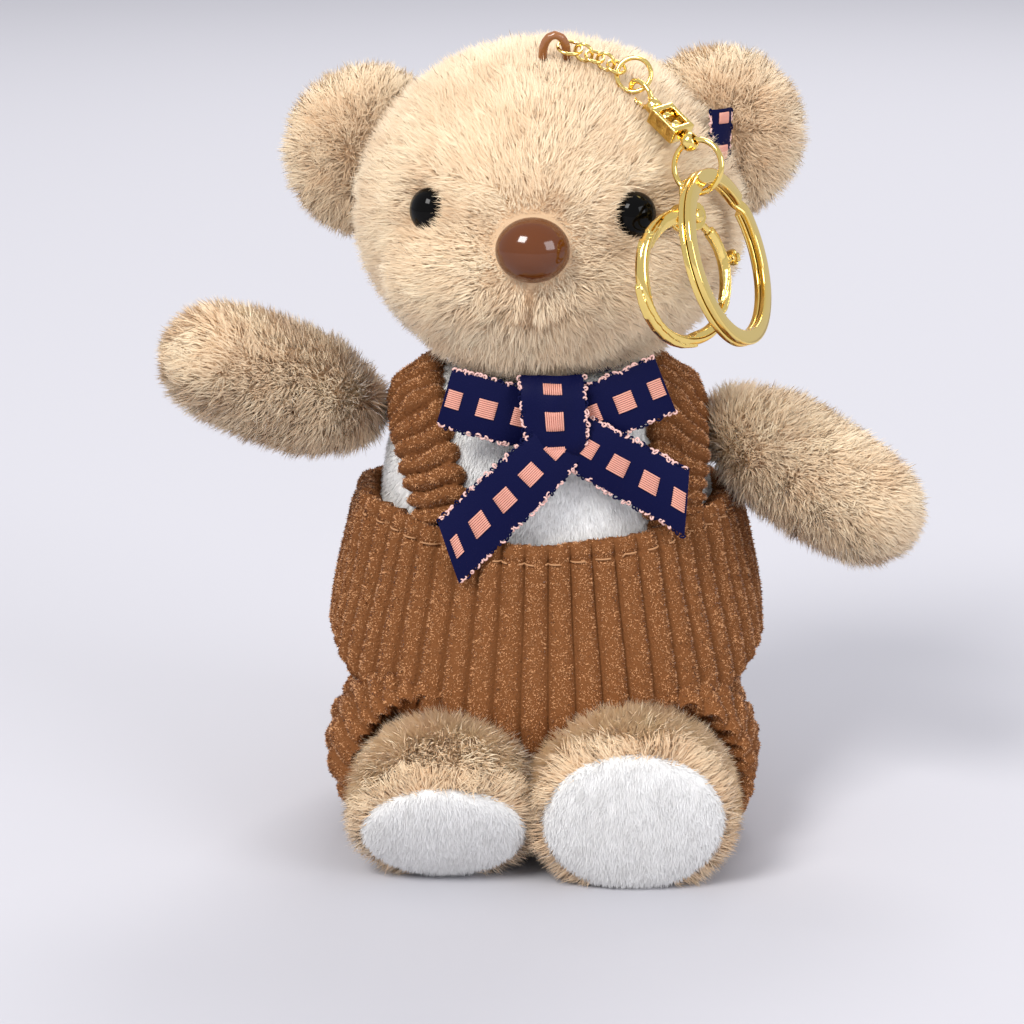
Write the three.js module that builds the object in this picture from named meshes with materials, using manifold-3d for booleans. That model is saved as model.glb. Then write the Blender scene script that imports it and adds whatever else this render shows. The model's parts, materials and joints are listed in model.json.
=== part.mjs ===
// A seated plush bear in corduroy dungarees, with a key chain from its crown.
// Millimetres, +Z up. The bear faces -Y, its own right side is at -X, and the seat rests on z = 0.
import * as THREE from "three";
import { mergeVertices } from "three/addons/utils/BufferGeometryUtils.js";
import Module from "manifold-3d";

const wasm = await Module();
wasm.setup();

// ---- driving dimensions, mm -----------------------------------------------------------
const GAP = 0.3; // between pieces that touch
const PLAY = 0.4; // between metal pieces that move on each other
const LINK_PLAY = 0.4; // between the fine rings that hang in each other
const RING_PLAY = 0.65; // between the larger ones
const COVER = 1.4; // thickness of sewn plush fabric
const PILE = 3; // depth of the fur that the chain lies on

const headWidth = 62;
const headDepth = 55;
const headHeight = 55;
const neckHeight = 79.5; // the underside of the head
const headCentre = new THREE.Vector3(1, 0, neckHeight + headHeight / 2);
const headTurn = THREE.MathUtils.degToRad(-6); // towards the bear's own right
const muzzleRadii = new THREE.Vector3(20.5, 10, 11);
const muzzleDrop = 8.5;
const neckHole = 7;

const earRadius = 12.8;
const earThickness = 10;
const earOut = { right: 31.5, left: 28 };
const earBack = 4;
const earRise = { right: 8.5, left: 12.5 };
const earOpening = 3;

const eyeRadius = 3.4;
const eyeDome = 2.7;
const eyeSpread = { right: 17.5, left: 15.3 };
const eyeRise = 2.6;
const noseRadii = new THREE.Vector3(5.9, 4.6, 5);
const noseRise = -2.2;
const noseOut = 2.2;
const shankRadius = 1.1;
const shankLength = 6;
const washerRadius = 3.1;
const washerThickness = 0.8;
const washerDepth = 2; // behind the cover

const torsoDepthShare = 0.8; // front to back, of the side to side width
const torsoBack = 1;
const torsoTop = 80;
const trouserCloth = 1.8;
const seatHeight = GAP + trouserCloth; // underside of the torso, over the trousers' seat on z = 0
const waistHeight = 56;
const strapWidth = 8.2;
const strapCloth = 1.5;
const strapFoot = { right: 17, left: 22 }; // from the middle to a strap's middle, at strapFootHeight
const strapFootHeight = 58;
const strapLean = { right: THREE.MathUtils.degToRad(16), left: THREE.MathUtils.degToRad(3) };

const armLength = 25.3; // from the shoulder's pivot to the middle of the paw
const armRadius = 8.6;
const pawRadius = 8;
const shoulderRadius = 6;
const armOpening = 2.5;
const shoulderOut = 34.4;
const shoulderHeight = { right: 72.5, left: 68.5 };
const armHeading = {
  right: new THREE.Vector3(-0.8, -0.44, 0.41),
  left: new THREE.Vector3(0.8, -0.4, -0.446),
};

const shinRadius = 9.8;
const cuffWidth = 31;
const cuffHeight = 26.6;
const cuffFront = -27;
const cuffCentre = new THREE.Vector3(21, -4, 14);
const hipDepth = 3; // how far in front of the middle a leg starts
const soleThickness = 1.2;
const feet = {
  right: { sole: [-16.8, -42.5, 8.9], width: 27.6, height: 21.6, tip: 29.4, length: 20.5 },
  left: { sole: [14.5, -45, 12], width: 30.6, height: 26, tip: 9.5, length: 21.5 },
};

const ribbonWidth = 10;
const ribbonThickness = 0.7;
const ribbonFront = -24.5; // the bow's back, ahead of the chest
const knotSize = new THREE.Vector3(9, 3.4, 10);
const knotCentre = new THREE.Vector3(1.5, ribbonFront, 76.5);
const bandRadius = 13.3;
const bandHeight = 1.4;
const tabSize = new THREE.Vector3(4.6, 0.8, 9);
const tabSpot = new THREE.Vector3(headWidth / 2 - 1.5, -7.5, 13.5); // in the head's own frame
const tabTurn = 0.9;

const loopCord = 0.75;
const loopSpread = 2;
const loopRise = 2.2; // above the fur
const crownSpot = new THREE.Vector3(1.5, -11.5, 134);
const chainSpots = {
  first: new THREE.Vector3(22, -18, 127.5), // the fine chain heads here
  second: new THREE.Vector3(25, -26, 117), // and the swivel here
};
const crownRingRadius = 2;
const chainLinkRadius = 1.5;
const chainLinks = 4; // an even number, so that the jump ring follows a flat one
const fineWire = 0.3;
const jumpRingRadius = 2.8;
const jumpWire = 0.42;
const jumpFacing = new THREE.Vector3(0, -0.966, 0.259);
const jumpTurn = THREE.MathUtils.degToRad(-55); // from the chain's far side to where the swivel hangs

const eyeLoopRadius = 1.9;
const eyeLoopStretch = 1.35;
const eyeLoopWire = 0.45;
const studRadius = 0.6;
const capRadius = 1.35;
const capHeight = 1.6;
const yokeBar = 1;
const yokeSide = 0.7;
const yokeDepth = 2.8;
const studHead = 1;
const studHeadRadius = 1.15;
const bulbRadius = 1.6;
const bulbHole = 0.98;

const linkRadius = 4.2;
const linkWire = 0.5;
const linkFacing = new THREE.Vector3(-0.5, -0.85, 0.15);
const linkLean = THREE.MathUtils.degToRad(26); // out from the face, in its own plane
const claspAlong = THREE.MathUtils.degToRad(42); // where each ring hangs, round from the oval link's foot
const splitAlong = THREE.MathUtils.degToRad(5);

const claspRadius = 10.1;
const claspLean = THREE.MathUtils.degToRad(-16); // in its own plane, towards the cheek
const claspWire = 1.15;
const claspFacing = new THREE.Vector3(0.7, -0.69, 0.19);
const claspEyeRadius = 1.9;
const claspEyeWire = 0.45;
const cheekThickness = 0.8;
const pinRadius = 0.5;
const pinHeadRadius = 1.2;
const bossRadius = 2.3;
const gateRootRadius = 1.2;
const claspNeck = claspEyeRadius + claspEyeWire + gateRootRadius + PLAY; // from the eye's middle to the pin
const gateThickness = 1.3;
const gateEnd = THREE.MathUtils.degToRad(116); // from the top of the clasp, by its side
const shoulderEnd = THREE.MathUtils.degToRad(55);
const gateStart = THREE.MathUtils.degToRad(24);
const knobAngle = THREE.MathUtils.degToRad(65);
const knobRadius = 1;
const knobReach = 3;

const splitOuter = 14.6;
const splitInner = 12.3;
const splitTurn = 0.95; // thickness of one turn of the flat wire
const splitSlit = 0.2;
const splitFacing = new THREE.Vector3(0.86, -0.4, 0.32);
const splitGapHalf = THREE.MathUtils.degToRad(6);
const splitGapAt = THREE.MathUtils.degToRad(58); // on the outer side, from the top

// ---- finishes -------------------------------------------------------------------------
const finish = (color, roughness, metalness = 0) =>
  new THREE.MeshStandardMaterial({ color, roughness, metalness });
const tanFur = finish(0xdcbe96, 0.95);
const whitePlush = finish(0xf3f1ee, 0.9);
const stuffing = finish(0xfafafa, 1);
const corduroy = finish(0x9d6238, 0.95);
const navyRibbon = finish(0x10154f, 0.6);
const brownCord = finish(0x9a5a2c, 0.5);
const gold = finish(0xdcb43c, 0.2, 1);
const amber = finish(0x8a3d08, 0.15);
const black = finish(0x0b0b0d, 0.1);
const springSteel = finish(0x9a9a9a, 0.4, 1);

// ---- solids and placing ---------------------------------------------------------------
const part = new THREE.Group();
const sides = [
  ["right", -1],
  ["left", 1],
];
const vec = (x, y, z) => new THREE.Vector3(x, y, z);

function solid(geometry) {
  const bare = geometry.clone();
  bare.deleteAttribute("normal");
  bare.deleteAttribute("uv");
  const merged = mergeVertices(bare, 1e-4);
  const kept = [];
  const index = merged.index.array;
  for (let i = 0; i < index.length; i += 3) {
    const [a, b, c] = index.slice(i, i + 3);
    if (a !== b && b !== c && c !== a) kept.push(a, b, c);
  }
  return new wasm.Manifold(
    new wasm.Mesh({
      numProp: 3,
      vertProperties: merged.attributes.position.array,
      triVerts: new Uint32Array(kept),
    }),
  );
}

function add(name, shape, material) {
  const m = shape.getMesh();
  const geometry = new THREE.BufferGeometry();
  geometry.setAttribute("position", new THREE.BufferAttribute(m.vertProperties, 3));
  geometry.setIndex(new THREE.BufferAttribute(m.triVerts, 1));
  geometry.computeVertexNormals();
  const mesh = new THREE.Mesh(geometry, material);
  mesh.name = name;
  part.add(mesh);
}

const join = (...shapes) => shapes.reduce((all, one) => all.add(one));
const placed = (geometry, matrix) => solid(geometry.clone().applyMatrix4(matrix));
const at = (position) => new THREE.Matrix4().setPosition(position);

// The matrix that takes local Z to `axis`, local X as near as it can be to `along`,
// and the origin to `position`.
function frameOf(position, axis, along) {
  const z = axis.clone().normalize();
  const x = along.clone().addScaledVector(z, -along.dot(z)).normalize();
  return new THREE.Matrix4().makeBasis(x, z.clone().cross(x), z).setPosition(position);
}

function ellipsoid(rx, ry, rz, around = 14, down = 8) {
  return new THREE.SphereGeometry(1, around, down).rotateX(Math.PI / 2).scale(rx, ry, rz);
}

// A profile of [radius, height] pairs moved `grow` out along its own normals; its ends stay on the axis.
function offsetProfile(profile, grow) {
  return profile.map(([r, z], i) => {
    const before = profile[Math.max(i - 1, 0)];
    const after = profile[Math.min(i + 1, profile.length - 1)];
    if (r === 0) return [0, z + grow * (i === 0 ? -1 : 1)];
    const run = new THREE.Vector2(after[0] - before[0], after[1] - before[1]).normalize();
    return [r + grow * run.y, z - grow * run.x];
  });
}

// A turned solid about Z from [radius, height] pairs that start and end on the axis, lowest first.
function turned(profile, around = 14) {
  const points = profile.map(([r, z]) => new THREE.Vector2(r, z));
  return new THREE.LatheGeometry(points, around).rotateX(Math.PI / 2);
}

const disc = (radius, low, high, around = 12) =>
  new THREE.CylinderGeometry(radius, radius, high - low, around)
    .rotateX(Math.PI / 2)
    .translate(0, 0, (low + high) / 2);
const ring = (radius, wire, around = 12, section = 5) =>
  new THREE.TorusGeometry(radius, wire, section, around);

// ---- head -----------------------------------------------------------------------------
const headRadii = vec(headWidth / 2, headDepth / 2, headHeight / 2);
const headFrame = at(headCentre).multiply(new THREE.Matrix4().makeRotationZ(headTurn));
const inHead = (x, y, z) => vec(x, y, z).applyMatrix4(headFrame);
const muzzleOut = headRadii.y - muzzleRadii.y + 2.5;

function headForm(grow) {
  const skull = ellipsoid(headRadii.x + grow, headRadii.y + grow, headRadii.z + grow, 18, 10);
  const muzzle = ellipsoid(muzzleRadii.x + grow, muzzleRadii.y + grow, muzzleRadii.z + grow, 12, 6);
  muzzle.translate(0, -muzzleOut, -muzzleDrop);
  return join(placed(skull, headFrame), placed(muzzle, headFrame));
}

// The point in front of the skull at local x and z, and the way out of the skull there,
// in the head's own frame.
function faceSpot(x, z) {
  const share = 1 - (x / headRadii.x) ** 2 - (z / headRadii.z) ** 2;
  const spot = vec(x, -headRadii.y * Math.sqrt(share), z);
  const out = spot.clone().divide(headRadii).divide(headRadii).normalize();
  return { spot, out };
}

// Where a safety eye or nose sits: local Z points out of the face, and the origin lies on the cover.
function seatOn(spot, out) {
  return headFrame.clone().multiply(frameOf(spot, out, vec(1, 0, 0)));
}

const eyeSeats = sides.map(([side, s]) => {
  const { spot, out } = faceSpot(s * eyeSpread[side], eyeRise);
  return seatOn(spot, out);
});
const muzzleShare = Math.sqrt(1 - ((noseRise + muzzleDrop) / muzzleRadii.z) ** 2);
const noseSpot = vec(0, -muzzleOut - muzzleRadii.y * muzzleShare, noseRise);
const noseSeat = seatOn(noseSpot, vec(0, -1, 0));
const shankHole = () => disc(shankRadius + GAP, -shankLength - GAP, 1);
const washerHole = () => disc(washerRadius + GAP, -shankLength - GAP, 1);
const allSeats = [...eyeSeats, noseSeat];
const neckCut = placed(disc(neckHole, -headHeight, -headRadii.z / 2), at(headCentre));

let headCover = headForm(0).subtract(headForm(-COVER)).subtract(neckCut);
let headFill = headForm(-COVER - GAP);
for (const seat of allSeats) {
  headCover = headCover.subtract(placed(shankHole(), seat));
  headFill = headFill.subtract(placed(washerHole(), seat));
}
add("head_cover", headCover, tanFur);
add("head_stuffing", headFill, stuffing);

const washerFront = -COVER - washerDepth;
const washerShape = (seat) =>
  placed(disc(washerRadius, washerFront - washerThickness, washerFront), seat).subtract(
    placed(disc(shankRadius + GAP, -shankLength, 0), seat),
  );
sides.forEach(([side], i) => {
  const domeForm = ellipsoid(eyeRadius, eyeRadius, eyeDome, 14, 8).translate(0, 0, GAP);
  const dome = placed(domeForm, eyeSeats[i]);
  const shank = placed(disc(shankRadius, -shankLength, GAP + eyeDome / 2), eyeSeats[i]);
  add("eye_" + side, join(dome.subtract(headForm(GAP)), shank), black);
  add("eye_washer_" + side, washerShape(eyeSeats[i]), whitePlush);
});
const noseForm = ellipsoid(noseRadii.x, noseRadii.z, noseRadii.y, 16, 8).translate(0, 0, noseOut);
const noseDome = placed(noseForm, noseSeat);
const noseShank = placed(disc(shankRadius, -shankLength, noseOut), noseSeat);
add("nose", join(noseDome.subtract(headForm(GAP)), noseShank), amber);
add("nose_washer", washerShape(noseSeat), whitePlush);

// ---- ears -----------------------------------------------------------------------------
for (const [side, s] of sides) {
  const middle = inHead(s * earOut[side], earBack, earRise[side]);
  const earForm = (grow) =>
    placed(ellipsoid(earRadius + grow, earThickness / 2 + grow, earRadius + grow), at(middle));
  const mouthFrame = frameOf(inHead(0, earBack, earRise[side] / 2), vec(s, 0, 0.2), vec(0, 1, 0));
  const opening = placed(disc(earOpening, 0, headWidth / 2), mouthFrame); // its stuffing goes in here
  const cover = earForm(0).subtract(earForm(-COVER)).subtract(headForm(GAP)).subtract(opening);
  add("ear_cover_" + side, cover, tanFur);
  add("ear_stuffing_" + side, earForm(-COVER - GAP).subtract(headForm(2 * GAP)), stuffing);
}

// ---- torso ----------------------------------------------------------------------------
const torsoProfile = [
  [0, seatHeight],
  [18, seatHeight],
  [20.5, seatHeight],
  [29, 8],
  [33.6, 18],
  [35, 28],
  [33.8, 39],
  [29, 56],
  [27.8, 66],
  [24, 75],
  [18, 79.3],
  [12, torsoTop],
  [0, torsoTop],
];
const torsoFrame = at(vec(0.5, torsoBack, 0)).multiply(new THREE.Matrix4().makeScale(1, torsoDepthShare, 1));

function torsoForm(grow) {
  return placed(turned(offsetProfile(torsoProfile, grow), 18), torsoFrame);
}

const torsoRim = headForm(GAP);
const throat = placed(disc(neckHole, torsoTop - 12, torsoTop + 12), at(vec(headCentre.x, 0, 0)));
add("torso_cover", torsoForm(0).subtract(torsoForm(-COVER)).subtract(torsoRim).subtract(throat), whitePlush);
add("torso_stuffing", torsoForm(-COVER - GAP).subtract(torsoRim), stuffing);

// ---- arms -----------------------------------------------------------------------------
for (const [side, s] of sides) {
  const shoulder = vec(s * shoulderOut, -1, shoulderHeight[side]);
  const frame = frameOf(shoulder, armHeading[side], vec(0, 1, 0));
  const armForm = (grow) => {
    const start = shoulderRadius + grow;
    const end = pawRadius + grow;
    const profile = [[0, -start]];
    for (let i = 1; i <= 2; i++) {
      const a = (i / 2) * (Math.PI / 2);
      profile.push([start * Math.sin(a), -start * Math.cos(a)]);
    }
    profile.push([armRadius + grow, armLength * 0.25], [armRadius + 0.2 + grow, armLength * 0.7]);
    for (let i = 0; i < 3; i++) {
      const a = (i / 3) * (Math.PI / 2);
      profile.push([end * Math.cos(a), armLength + end * Math.sin(a)]);
    }
    return placed(turned([...profile, [0, armLength + end]], 10), frame);
  };
  const opening = placed(disc(armOpening, -shoulderRadius - 1, 0), frame);
  add("arm_cover_" + side, armForm(0).subtract(armForm(-COVER)).subtract(opening), tanFur);
  add("arm_stuffing_" + side, armForm(-COVER - GAP), stuffing);
}

// ---- legs, soles and trousers ---------------------------------------------------------
const trouserInside = GAP;
const trouserOutside = GAP + trouserCloth;
const legHoles = [];
for (const [side, s] of sides) {
  const foot = feet[side];
  const tip = THREE.MathUtils.degToRad(foot.tip);
  const out = vec(0, -Math.cos(tip), -Math.sin(tip));
  const frame = frameOf(vec(...foot.sole), out, vec(1, 0, 0));
  const footForm = (grow) => {
    const half = foot.width / 2;
    const shape = [
      [0, -foot.length],
      [half * 0.6, -foot.length * 0.93],
      [half * 0.92, -foot.length * 0.7],
      [half, -foot.length * 0.45],
      [half * 0.985, -foot.length * 0.22],
      [half * 0.91, -soleThickness - GAP],
      [0, -soleThickness - GAP],
    ];
    const squeeze = new THREE.Matrix4().makeScale(1, foot.height / foot.width, 1);
    return placed(turned(offsetProfile(shape, grow)), frame.clone().multiply(squeeze));
  };
  const ankle = vec(...foot.sole).addScaledVector(out, -foot.length * 0.5);
  const hip = vec(s * (cuffCentre.x - 1), -hipDepth, cuffCentre.z);
  const legLine = ankle.clone().sub(hip);
  const shinFrame = frameOf(hip, legLine, vec(1, 0, 0));
  const shin = (grow) => placed(disc(shinRadius + grow, -grow, legLine.length()), shinFrame);
  const torsoEdge = torsoForm(GAP);
  const legForm = (grow) => join(footForm(grow), shin(grow));
  add("leg_cover_" + side, legForm(0).subtract(legForm(-COVER)).subtract(torsoEdge), tanFur);
  add("leg_stuffing_" + side, legForm(-COVER - 2 * GAP).subtract(torsoForm(2 * GAP)), stuffing);
  const soleSize = new THREE.Matrix4().makeScale((foot.width / 2) * 0.88, (foot.height / 2) * 0.88, 1);
  add("sole_" + side, placed(disc(1, -soleThickness, 0, 20), frame.clone().multiply(soleSize)), whitePlush);
  legHoles.push(shin(GAP), footForm(GAP));
}

const aboveWaist = placed(disc(headWidth, waistHeight, waistHeight + torsoTop), at(vec(0, 0, 0)));
let trousers = torsoForm(trouserOutside).subtract(torsoForm(trouserInside)).subtract(aboveWaist);
for (const hole of legHoles) trousers = trousers.subtract(hole);
add("trousers_body", trousers, corduroy);

for (const [side, s] of sides) {
  const cuffForm = (grow) => {
    const size = new THREE.Matrix4().makeScale(cuffWidth / 2 + grow, 1, cuffHeight / 2 + grow);
    const place = at(vec(s * cuffCentre.x, 0, cuffCentre.z)).multiply(size);
    const rod = new THREE.CylinderGeometry(1, 1, cuffCentre.y - cuffFront - 2 * grow, 18);
    return placed(rod.translate(0, (cuffCentre.y + cuffFront) / 2, 0), place);
  };
  const bore = cuffForm(-trouserCloth);
  let cuff = cuffForm(0).subtract(torsoForm(trouserOutside + GAP)).subtract(bore);
  for (const hole of legHoles) cuff = cuff.subtract(hole);
  const pieces = cuff.decompose().sort((a, b) => b.volume() - a.volume());
  add("trouser_leg_" + side, pieces[0], corduroy);
}

// ---- straps ---------------------------------------------------------------------------
for (const [side, s] of sides) {
  const slab = new THREE.BoxGeometry(strapWidth, headWidth * 2, torsoTop);
  const lean = new THREE.Matrix4().makeRotationY(s * strapLean[side]);
  const band = placed(slab, at(vec(s * strapFoot[side], 0, strapFootHeight)).multiply(lean));
  const layer = torsoForm(GAP + strapCloth).subtract(torsoForm(GAP));
  const below = placed(disc(headWidth, -torsoTop, waistHeight + GAP), at(vec(0, 0, 0)));
  const strap = layer.intersect(band).subtract(below).subtract(headForm(GAP));
  const pieces = strap.decompose().sort((a, b) => b.volume() - a.volume());
  add("strap_" + side, pieces[0], corduroy);
}

// ---- ribbon ---------------------------------------------------------------------------
const neckBand = [
  [bandRadius, 0],
  [bandRadius + ribbonThickness, 0],
  [bandRadius + ribbonThickness, bandHeight],
  [bandRadius, bandHeight],
  [bandRadius, 0],
];
const bandFrame = at(vec(headCentre.x, torsoBack, torsoTop + GAP));
add("ribbon_neck_band", placed(turned(neckBand, 18), bandFrame).subtract(headForm(GAP)), navyRibbon);

const knotShape = ellipsoid(knotSize.x / 2, knotSize.y / 2, knotSize.z / 2);
add("ribbon_knot", placed(knotShape, at(knotCentre)), navyRibbon);

// A flat length of ribbon from one point to another, facing forward.
function ribbonStrip(name, from, to) {
  const run = to.clone().sub(from);
  const strip = new THREE.BoxGeometry(run.length(), ribbonWidth, ribbonThickness);
  strip.translate(run.length() / 2, 0, 0);
  const along = run.clone().normalize();
  const facing = vec(0, -1, 0).addScaledVector(along, along.y);
  const shape = placed(strip, frameOf(from, facing, run));
  const half = knotSize.clone().multiplyScalar(0.5).addScalar(GAP);
  const clear = placed(ellipsoid(half.x, half.y, half.z), at(knotCentre));
  const pieces = shape.subtract(clear).decompose().sort((a, b) => b.volume() - a.volume());
  add(name, pieces[0], navyRibbon);
}
const { x: knotX, y: knotY, z: knotZ } = knotCentre;
ribbonStrip("ribbon_bow_right", vec(knotX - 2.5, knotY, knotZ + 0.8), vec(-16.5, knotY, 81));
ribbonStrip("ribbon_bow_left", vec(knotX + 2.5, knotY, knotZ + 1.6), vec(19.5, knotY + 1, 82));
ribbonStrip("ribbon_tail_right", vec(knotX + 1.5, knotY - 2.6, knotZ - 4), vec(-16, knotY - 3.6, 53.5));
ribbonStrip("ribbon_tail_left", vec(knotX + 3, knotY - 1.2, knotZ - 4), vec(23.5, knotY - 1.2, 61.5));

const tabBox = new THREE.BoxGeometry(tabSize.x, tabSize.y, tabSize.z).rotateZ(tabTurn);
add("ear_ribbon_tab", placed(tabBox, headFrame.clone().multiply(at(tabSpot))), navyRibbon);

// ---- the way the chain runs over the head ---------------------------------------------
const skullNormal = (p) => p.clone().sub(headCentre).divide(headRadii).divide(headRadii).normalize();

// The point straight out from the head's middle through p that stands `lift` off the skull.
function onSkull(p, lift) {
  const radii = headRadii.clone().addScalar(lift);
  const ray = p.clone().sub(headCentre);
  return headCentre.clone().addScaledVector(ray, 1 / ray.clone().divide(radii).length());
}

// The point `length` away from `from`, over the skull towards `target`.
function walk(from, target, length, lift) {
  const goal = onSkull(target, lift);
  let low = 0;
  let high = 3;
  for (let i = 0; i < 40; i++) {
    const middle = (low + high) / 2;
    const spot = onSkull(from.clone().lerp(goal, middle), lift);
    if (spot.distanceTo(from) < length) low = middle;
    else high = middle;
  }
  return onSkull(from.clone().lerp(goal, low), lift);
}

// The next piece of the chain: it starts round the wire that `last` ends with, and runs over the skull.
function follow(last, wire, length, target, lift, play = LINK_PLAY) {
  const ahead = walk(last.end, target, length, lift).sub(last.end).normalize();
  const start = last.end.clone().addScaledVector(ahead, -(last.wire + wire + play));
  const end = walk(start, target, length, lift);
  const heading = end.clone().sub(start).normalize();
  const up = skullNormal(start.clone().lerp(end, 0.5));
  up.addScaledVector(heading, -up.dot(heading)).normalize();
  return { start, end, heading, up, wire };
}
const middleOf = (piece) => piece.start.clone().lerp(piece.end, 0.5);

const crown = onSkull(crownSpot, 0);
const crownUp = skullNormal(crown);
const crownAcross = vec(1, 0, 0).addScaledVector(crownUp, -crownUp.x).normalize();
const loopTop = PILE + loopRise;
class LoopCurve extends THREE.Curve {
  getPoint(t) {
    const a = Math.PI * (1 - t);
    const high = GAP + loopCord + (loopTop - loopCord) * Math.sin(a) ** 0.8;
    const side = crown.clone().addScaledVector(crownAcross, loopSpread * Math.cos(a));
    return side.addScaledVector(crownUp, high);
  }
}
const cordSection = new THREE.Shape().absarc(0, 0, loopCord, 0, 2 * Math.PI);
const loopTube = new THREE.ExtrudeGeometry(cordSection, {
  extrudePath: new LoopCurve(),
  steps: 10,
  curveSegments: 3,
});
add("hanging_loop", solid(loopTube), brownCord);

const fineLift = PILE + fineWire;
const loopLeg = crown
  .clone()
  .addScaledVector(crownAcross, loopSpread * 0.97)
  .addScaledVector(crownUp, fineLift);
const anchor = { end: loopLeg, wire: loopCord };
const crownRing = follow(anchor, fineWire, 2 * crownRingRadius, chainSpots.first, fineLift);

function chainRing(name, piece, radius, facing) {
  add(name, placed(ring(radius, piece.wire), frameOf(middleOf(piece), facing, piece.heading)), gold);
}
const edgeOn = (piece) => piece.heading.clone().cross(piece.up);
chainRing("crown_ring", crownRing, crownRingRadius, crownRing.up);
let lastLink = crownRing;
for (let i = 1; i <= chainLinks; i++) {
  const link = follow(lastLink, fineWire, 2 * chainLinkRadius, chainSpots.first, fineLift);
  chainRing("chain_link_" + i, link, chainLinkRadius, i % 2 ? edgeOn(link) : link.up);
  lastLink = link;
}
const jumpRing = follow(lastLink, jumpWire, 2 * jumpRingRadius, chainSpots.first, PILE + 1.5);
const jumpUp = jumpFacing.clone().addScaledVector(jumpRing.heading, -jumpFacing.dot(jumpRing.heading));
chainRing("jump_ring", jumpRing, jumpRingRadius, jumpUp);

// ---- double swivel --------------------------------------------------------------------
const eyeLength = 2 * eyeLoopRadius * eyeLoopStretch;
const capStart = eyeLength;
const yokeStart = capStart + capHeight + PLAY;
const windowStart = yokeStart + yokeBar;
const upperHead = windowStart + PLAY;
const lowerHead = upperHead + studHead + 1.2;
const windowEnd = lowerHead + studHead + PLAY;
const yokeEnd = windowEnd + yokeBar;
const bulbMiddle = yokeEnd + PLAY + bulbRadius * 0.9;
const jumpLow = jumpRing.heading.clone().applyAxisAngle(jumpUp.normalize(), jumpTurn);
const swivelAnchor = { end: middleOf(jumpRing).addScaledVector(jumpLow, jumpRingRadius), wire: jumpWire };
const eyeLoopEdge = eyeLoopWire * eyeLoopStretch;
const swivel = follow(swivelAnchor, eyeLoopEdge, bulbMiddle, chainSpots.second, PILE + 4.2, RING_PLAY);
const swivelFrame = frameOf(swivel.start, swivel.heading, edgeOn(swivel));
const onSwivel = (geometry) => placed(geometry, swivelFrame);

const eyeLoop = ring(eyeLoopRadius, eyeLoopWire).scale(eyeLoopStretch, 1, 1);
eyeLoop.rotateY(-Math.PI / 2).translate(0, 0, eyeLength / 2);
const capBead = turned([
  [0, capStart - 0.2],
  [capRadius * 0.7, capStart - 0.2],
  [capRadius, capStart + 0.25],
  [capRadius, capStart + capHeight - 0.35],
  [capRadius * 0.8, capStart + capHeight],
  [0, capStart + capHeight],
], 12);
add(
  "swivel_eye",
  join(
    onSwivel(eyeLoop),
    onSwivel(capBead),
    onSwivel(disc(studRadius, capStart, upperHead + studHead / 2, 10)),
    onSwivel(disc(studHeadRadius, upperHead, upperHead + studHead)),
  ),
  gold,
);

const windowHalf = studHeadRadius + PLAY;
const yokeBox = new THREE.BoxGeometry(2 * (windowHalf + yokeSide), yokeDepth, yokeEnd - yokeStart);
const yokeWindow = new THREE.BoxGeometry(2 * windowHalf, yokeDepth * 2, windowEnd - windowStart);
add(
  "swivel_yoke",
  onSwivel(yokeBox.translate(0, 0, (yokeStart + yokeEnd) / 2))
    .subtract(onSwivel(yokeWindow.translate(0, 0, (windowStart + windowEnd) / 2)))
    .subtract(onSwivel(disc(studRadius + PLAY, yokeStart - 1, yokeEnd + 1))),
  gold,
);

// The way down in the plane that faces `facing`.
const hangFrom = (facing) => vec(0, 0, -1).addScaledVector(facing, facing.z / facing.lengthSq()).normalize();

// ---- oval link ------------------------------------------------------------------------
const linkTop = swivel.end.clone();
const linkDown = hangFrom(linkFacing).applyAxisAngle(linkFacing.clone().normalize(), linkLean);
const linkAcross = linkFacing.clone().cross(linkDown).normalize();
const linkMiddle = linkTop.clone().addScaledVector(linkDown, linkRadius);
add("oval_link", placed(ring(linkRadius, linkWire, 18), frameOf(linkMiddle, linkFacing, linkDown)), gold);

const bulb = onSwivel(ellipsoid(bulbRadius, bulbRadius, bulbRadius, 12, 8).translate(0, 0, bulbMiddle));
const crossHole = placed(disc(bulbHole, -3, 3, 12), frameOf(linkTop, linkAcross, linkDown));
add(
  "swivel_lower_eye",
  join(
    bulb,
    onSwivel(disc(studRadius, lowerHead + studHead / 2, bulbMiddle - bulbHole, 10)),
    onSwivel(disc(studHeadRadius, lowerHead, lowerHead + studHead)),
  ).subtract(crossHole),
  gold,
);

// A point on the oval link's wire, by its angle from the link's foot.
const onLink = (angle, radius) =>
  linkMiddle
    .clone()
    .addScaledVector(linkDown, radius * Math.cos(angle))
    .addScaledVector(linkAcross, radius * Math.sin(angle));

// ---- spring clasp ---------------------------------------------------------------------
// In the clasp's frame the origin is the gate's pin, X runs down the clasp,
// Y to its outer side and Z out of its face.
const claspDown = hangFrom(claspFacing).applyAxisAngle(claspFacing.clone().normalize(), claspLean);
const claspHold = onLink(-claspAlong, linkRadius);
const claspEyeMiddle = claspHold
  .clone()
  .addScaledVector(claspDown, claspEyeRadius - claspEyeWire - linkWire - RING_PLAY);
const claspPin = claspEyeMiddle.clone().addScaledVector(claspDown, claspNeck);
const claspFrame = frameOf(claspPin, claspFacing, claspDown);
const onClasp = (geometry) => placed(geometry, claspFrame);

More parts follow.
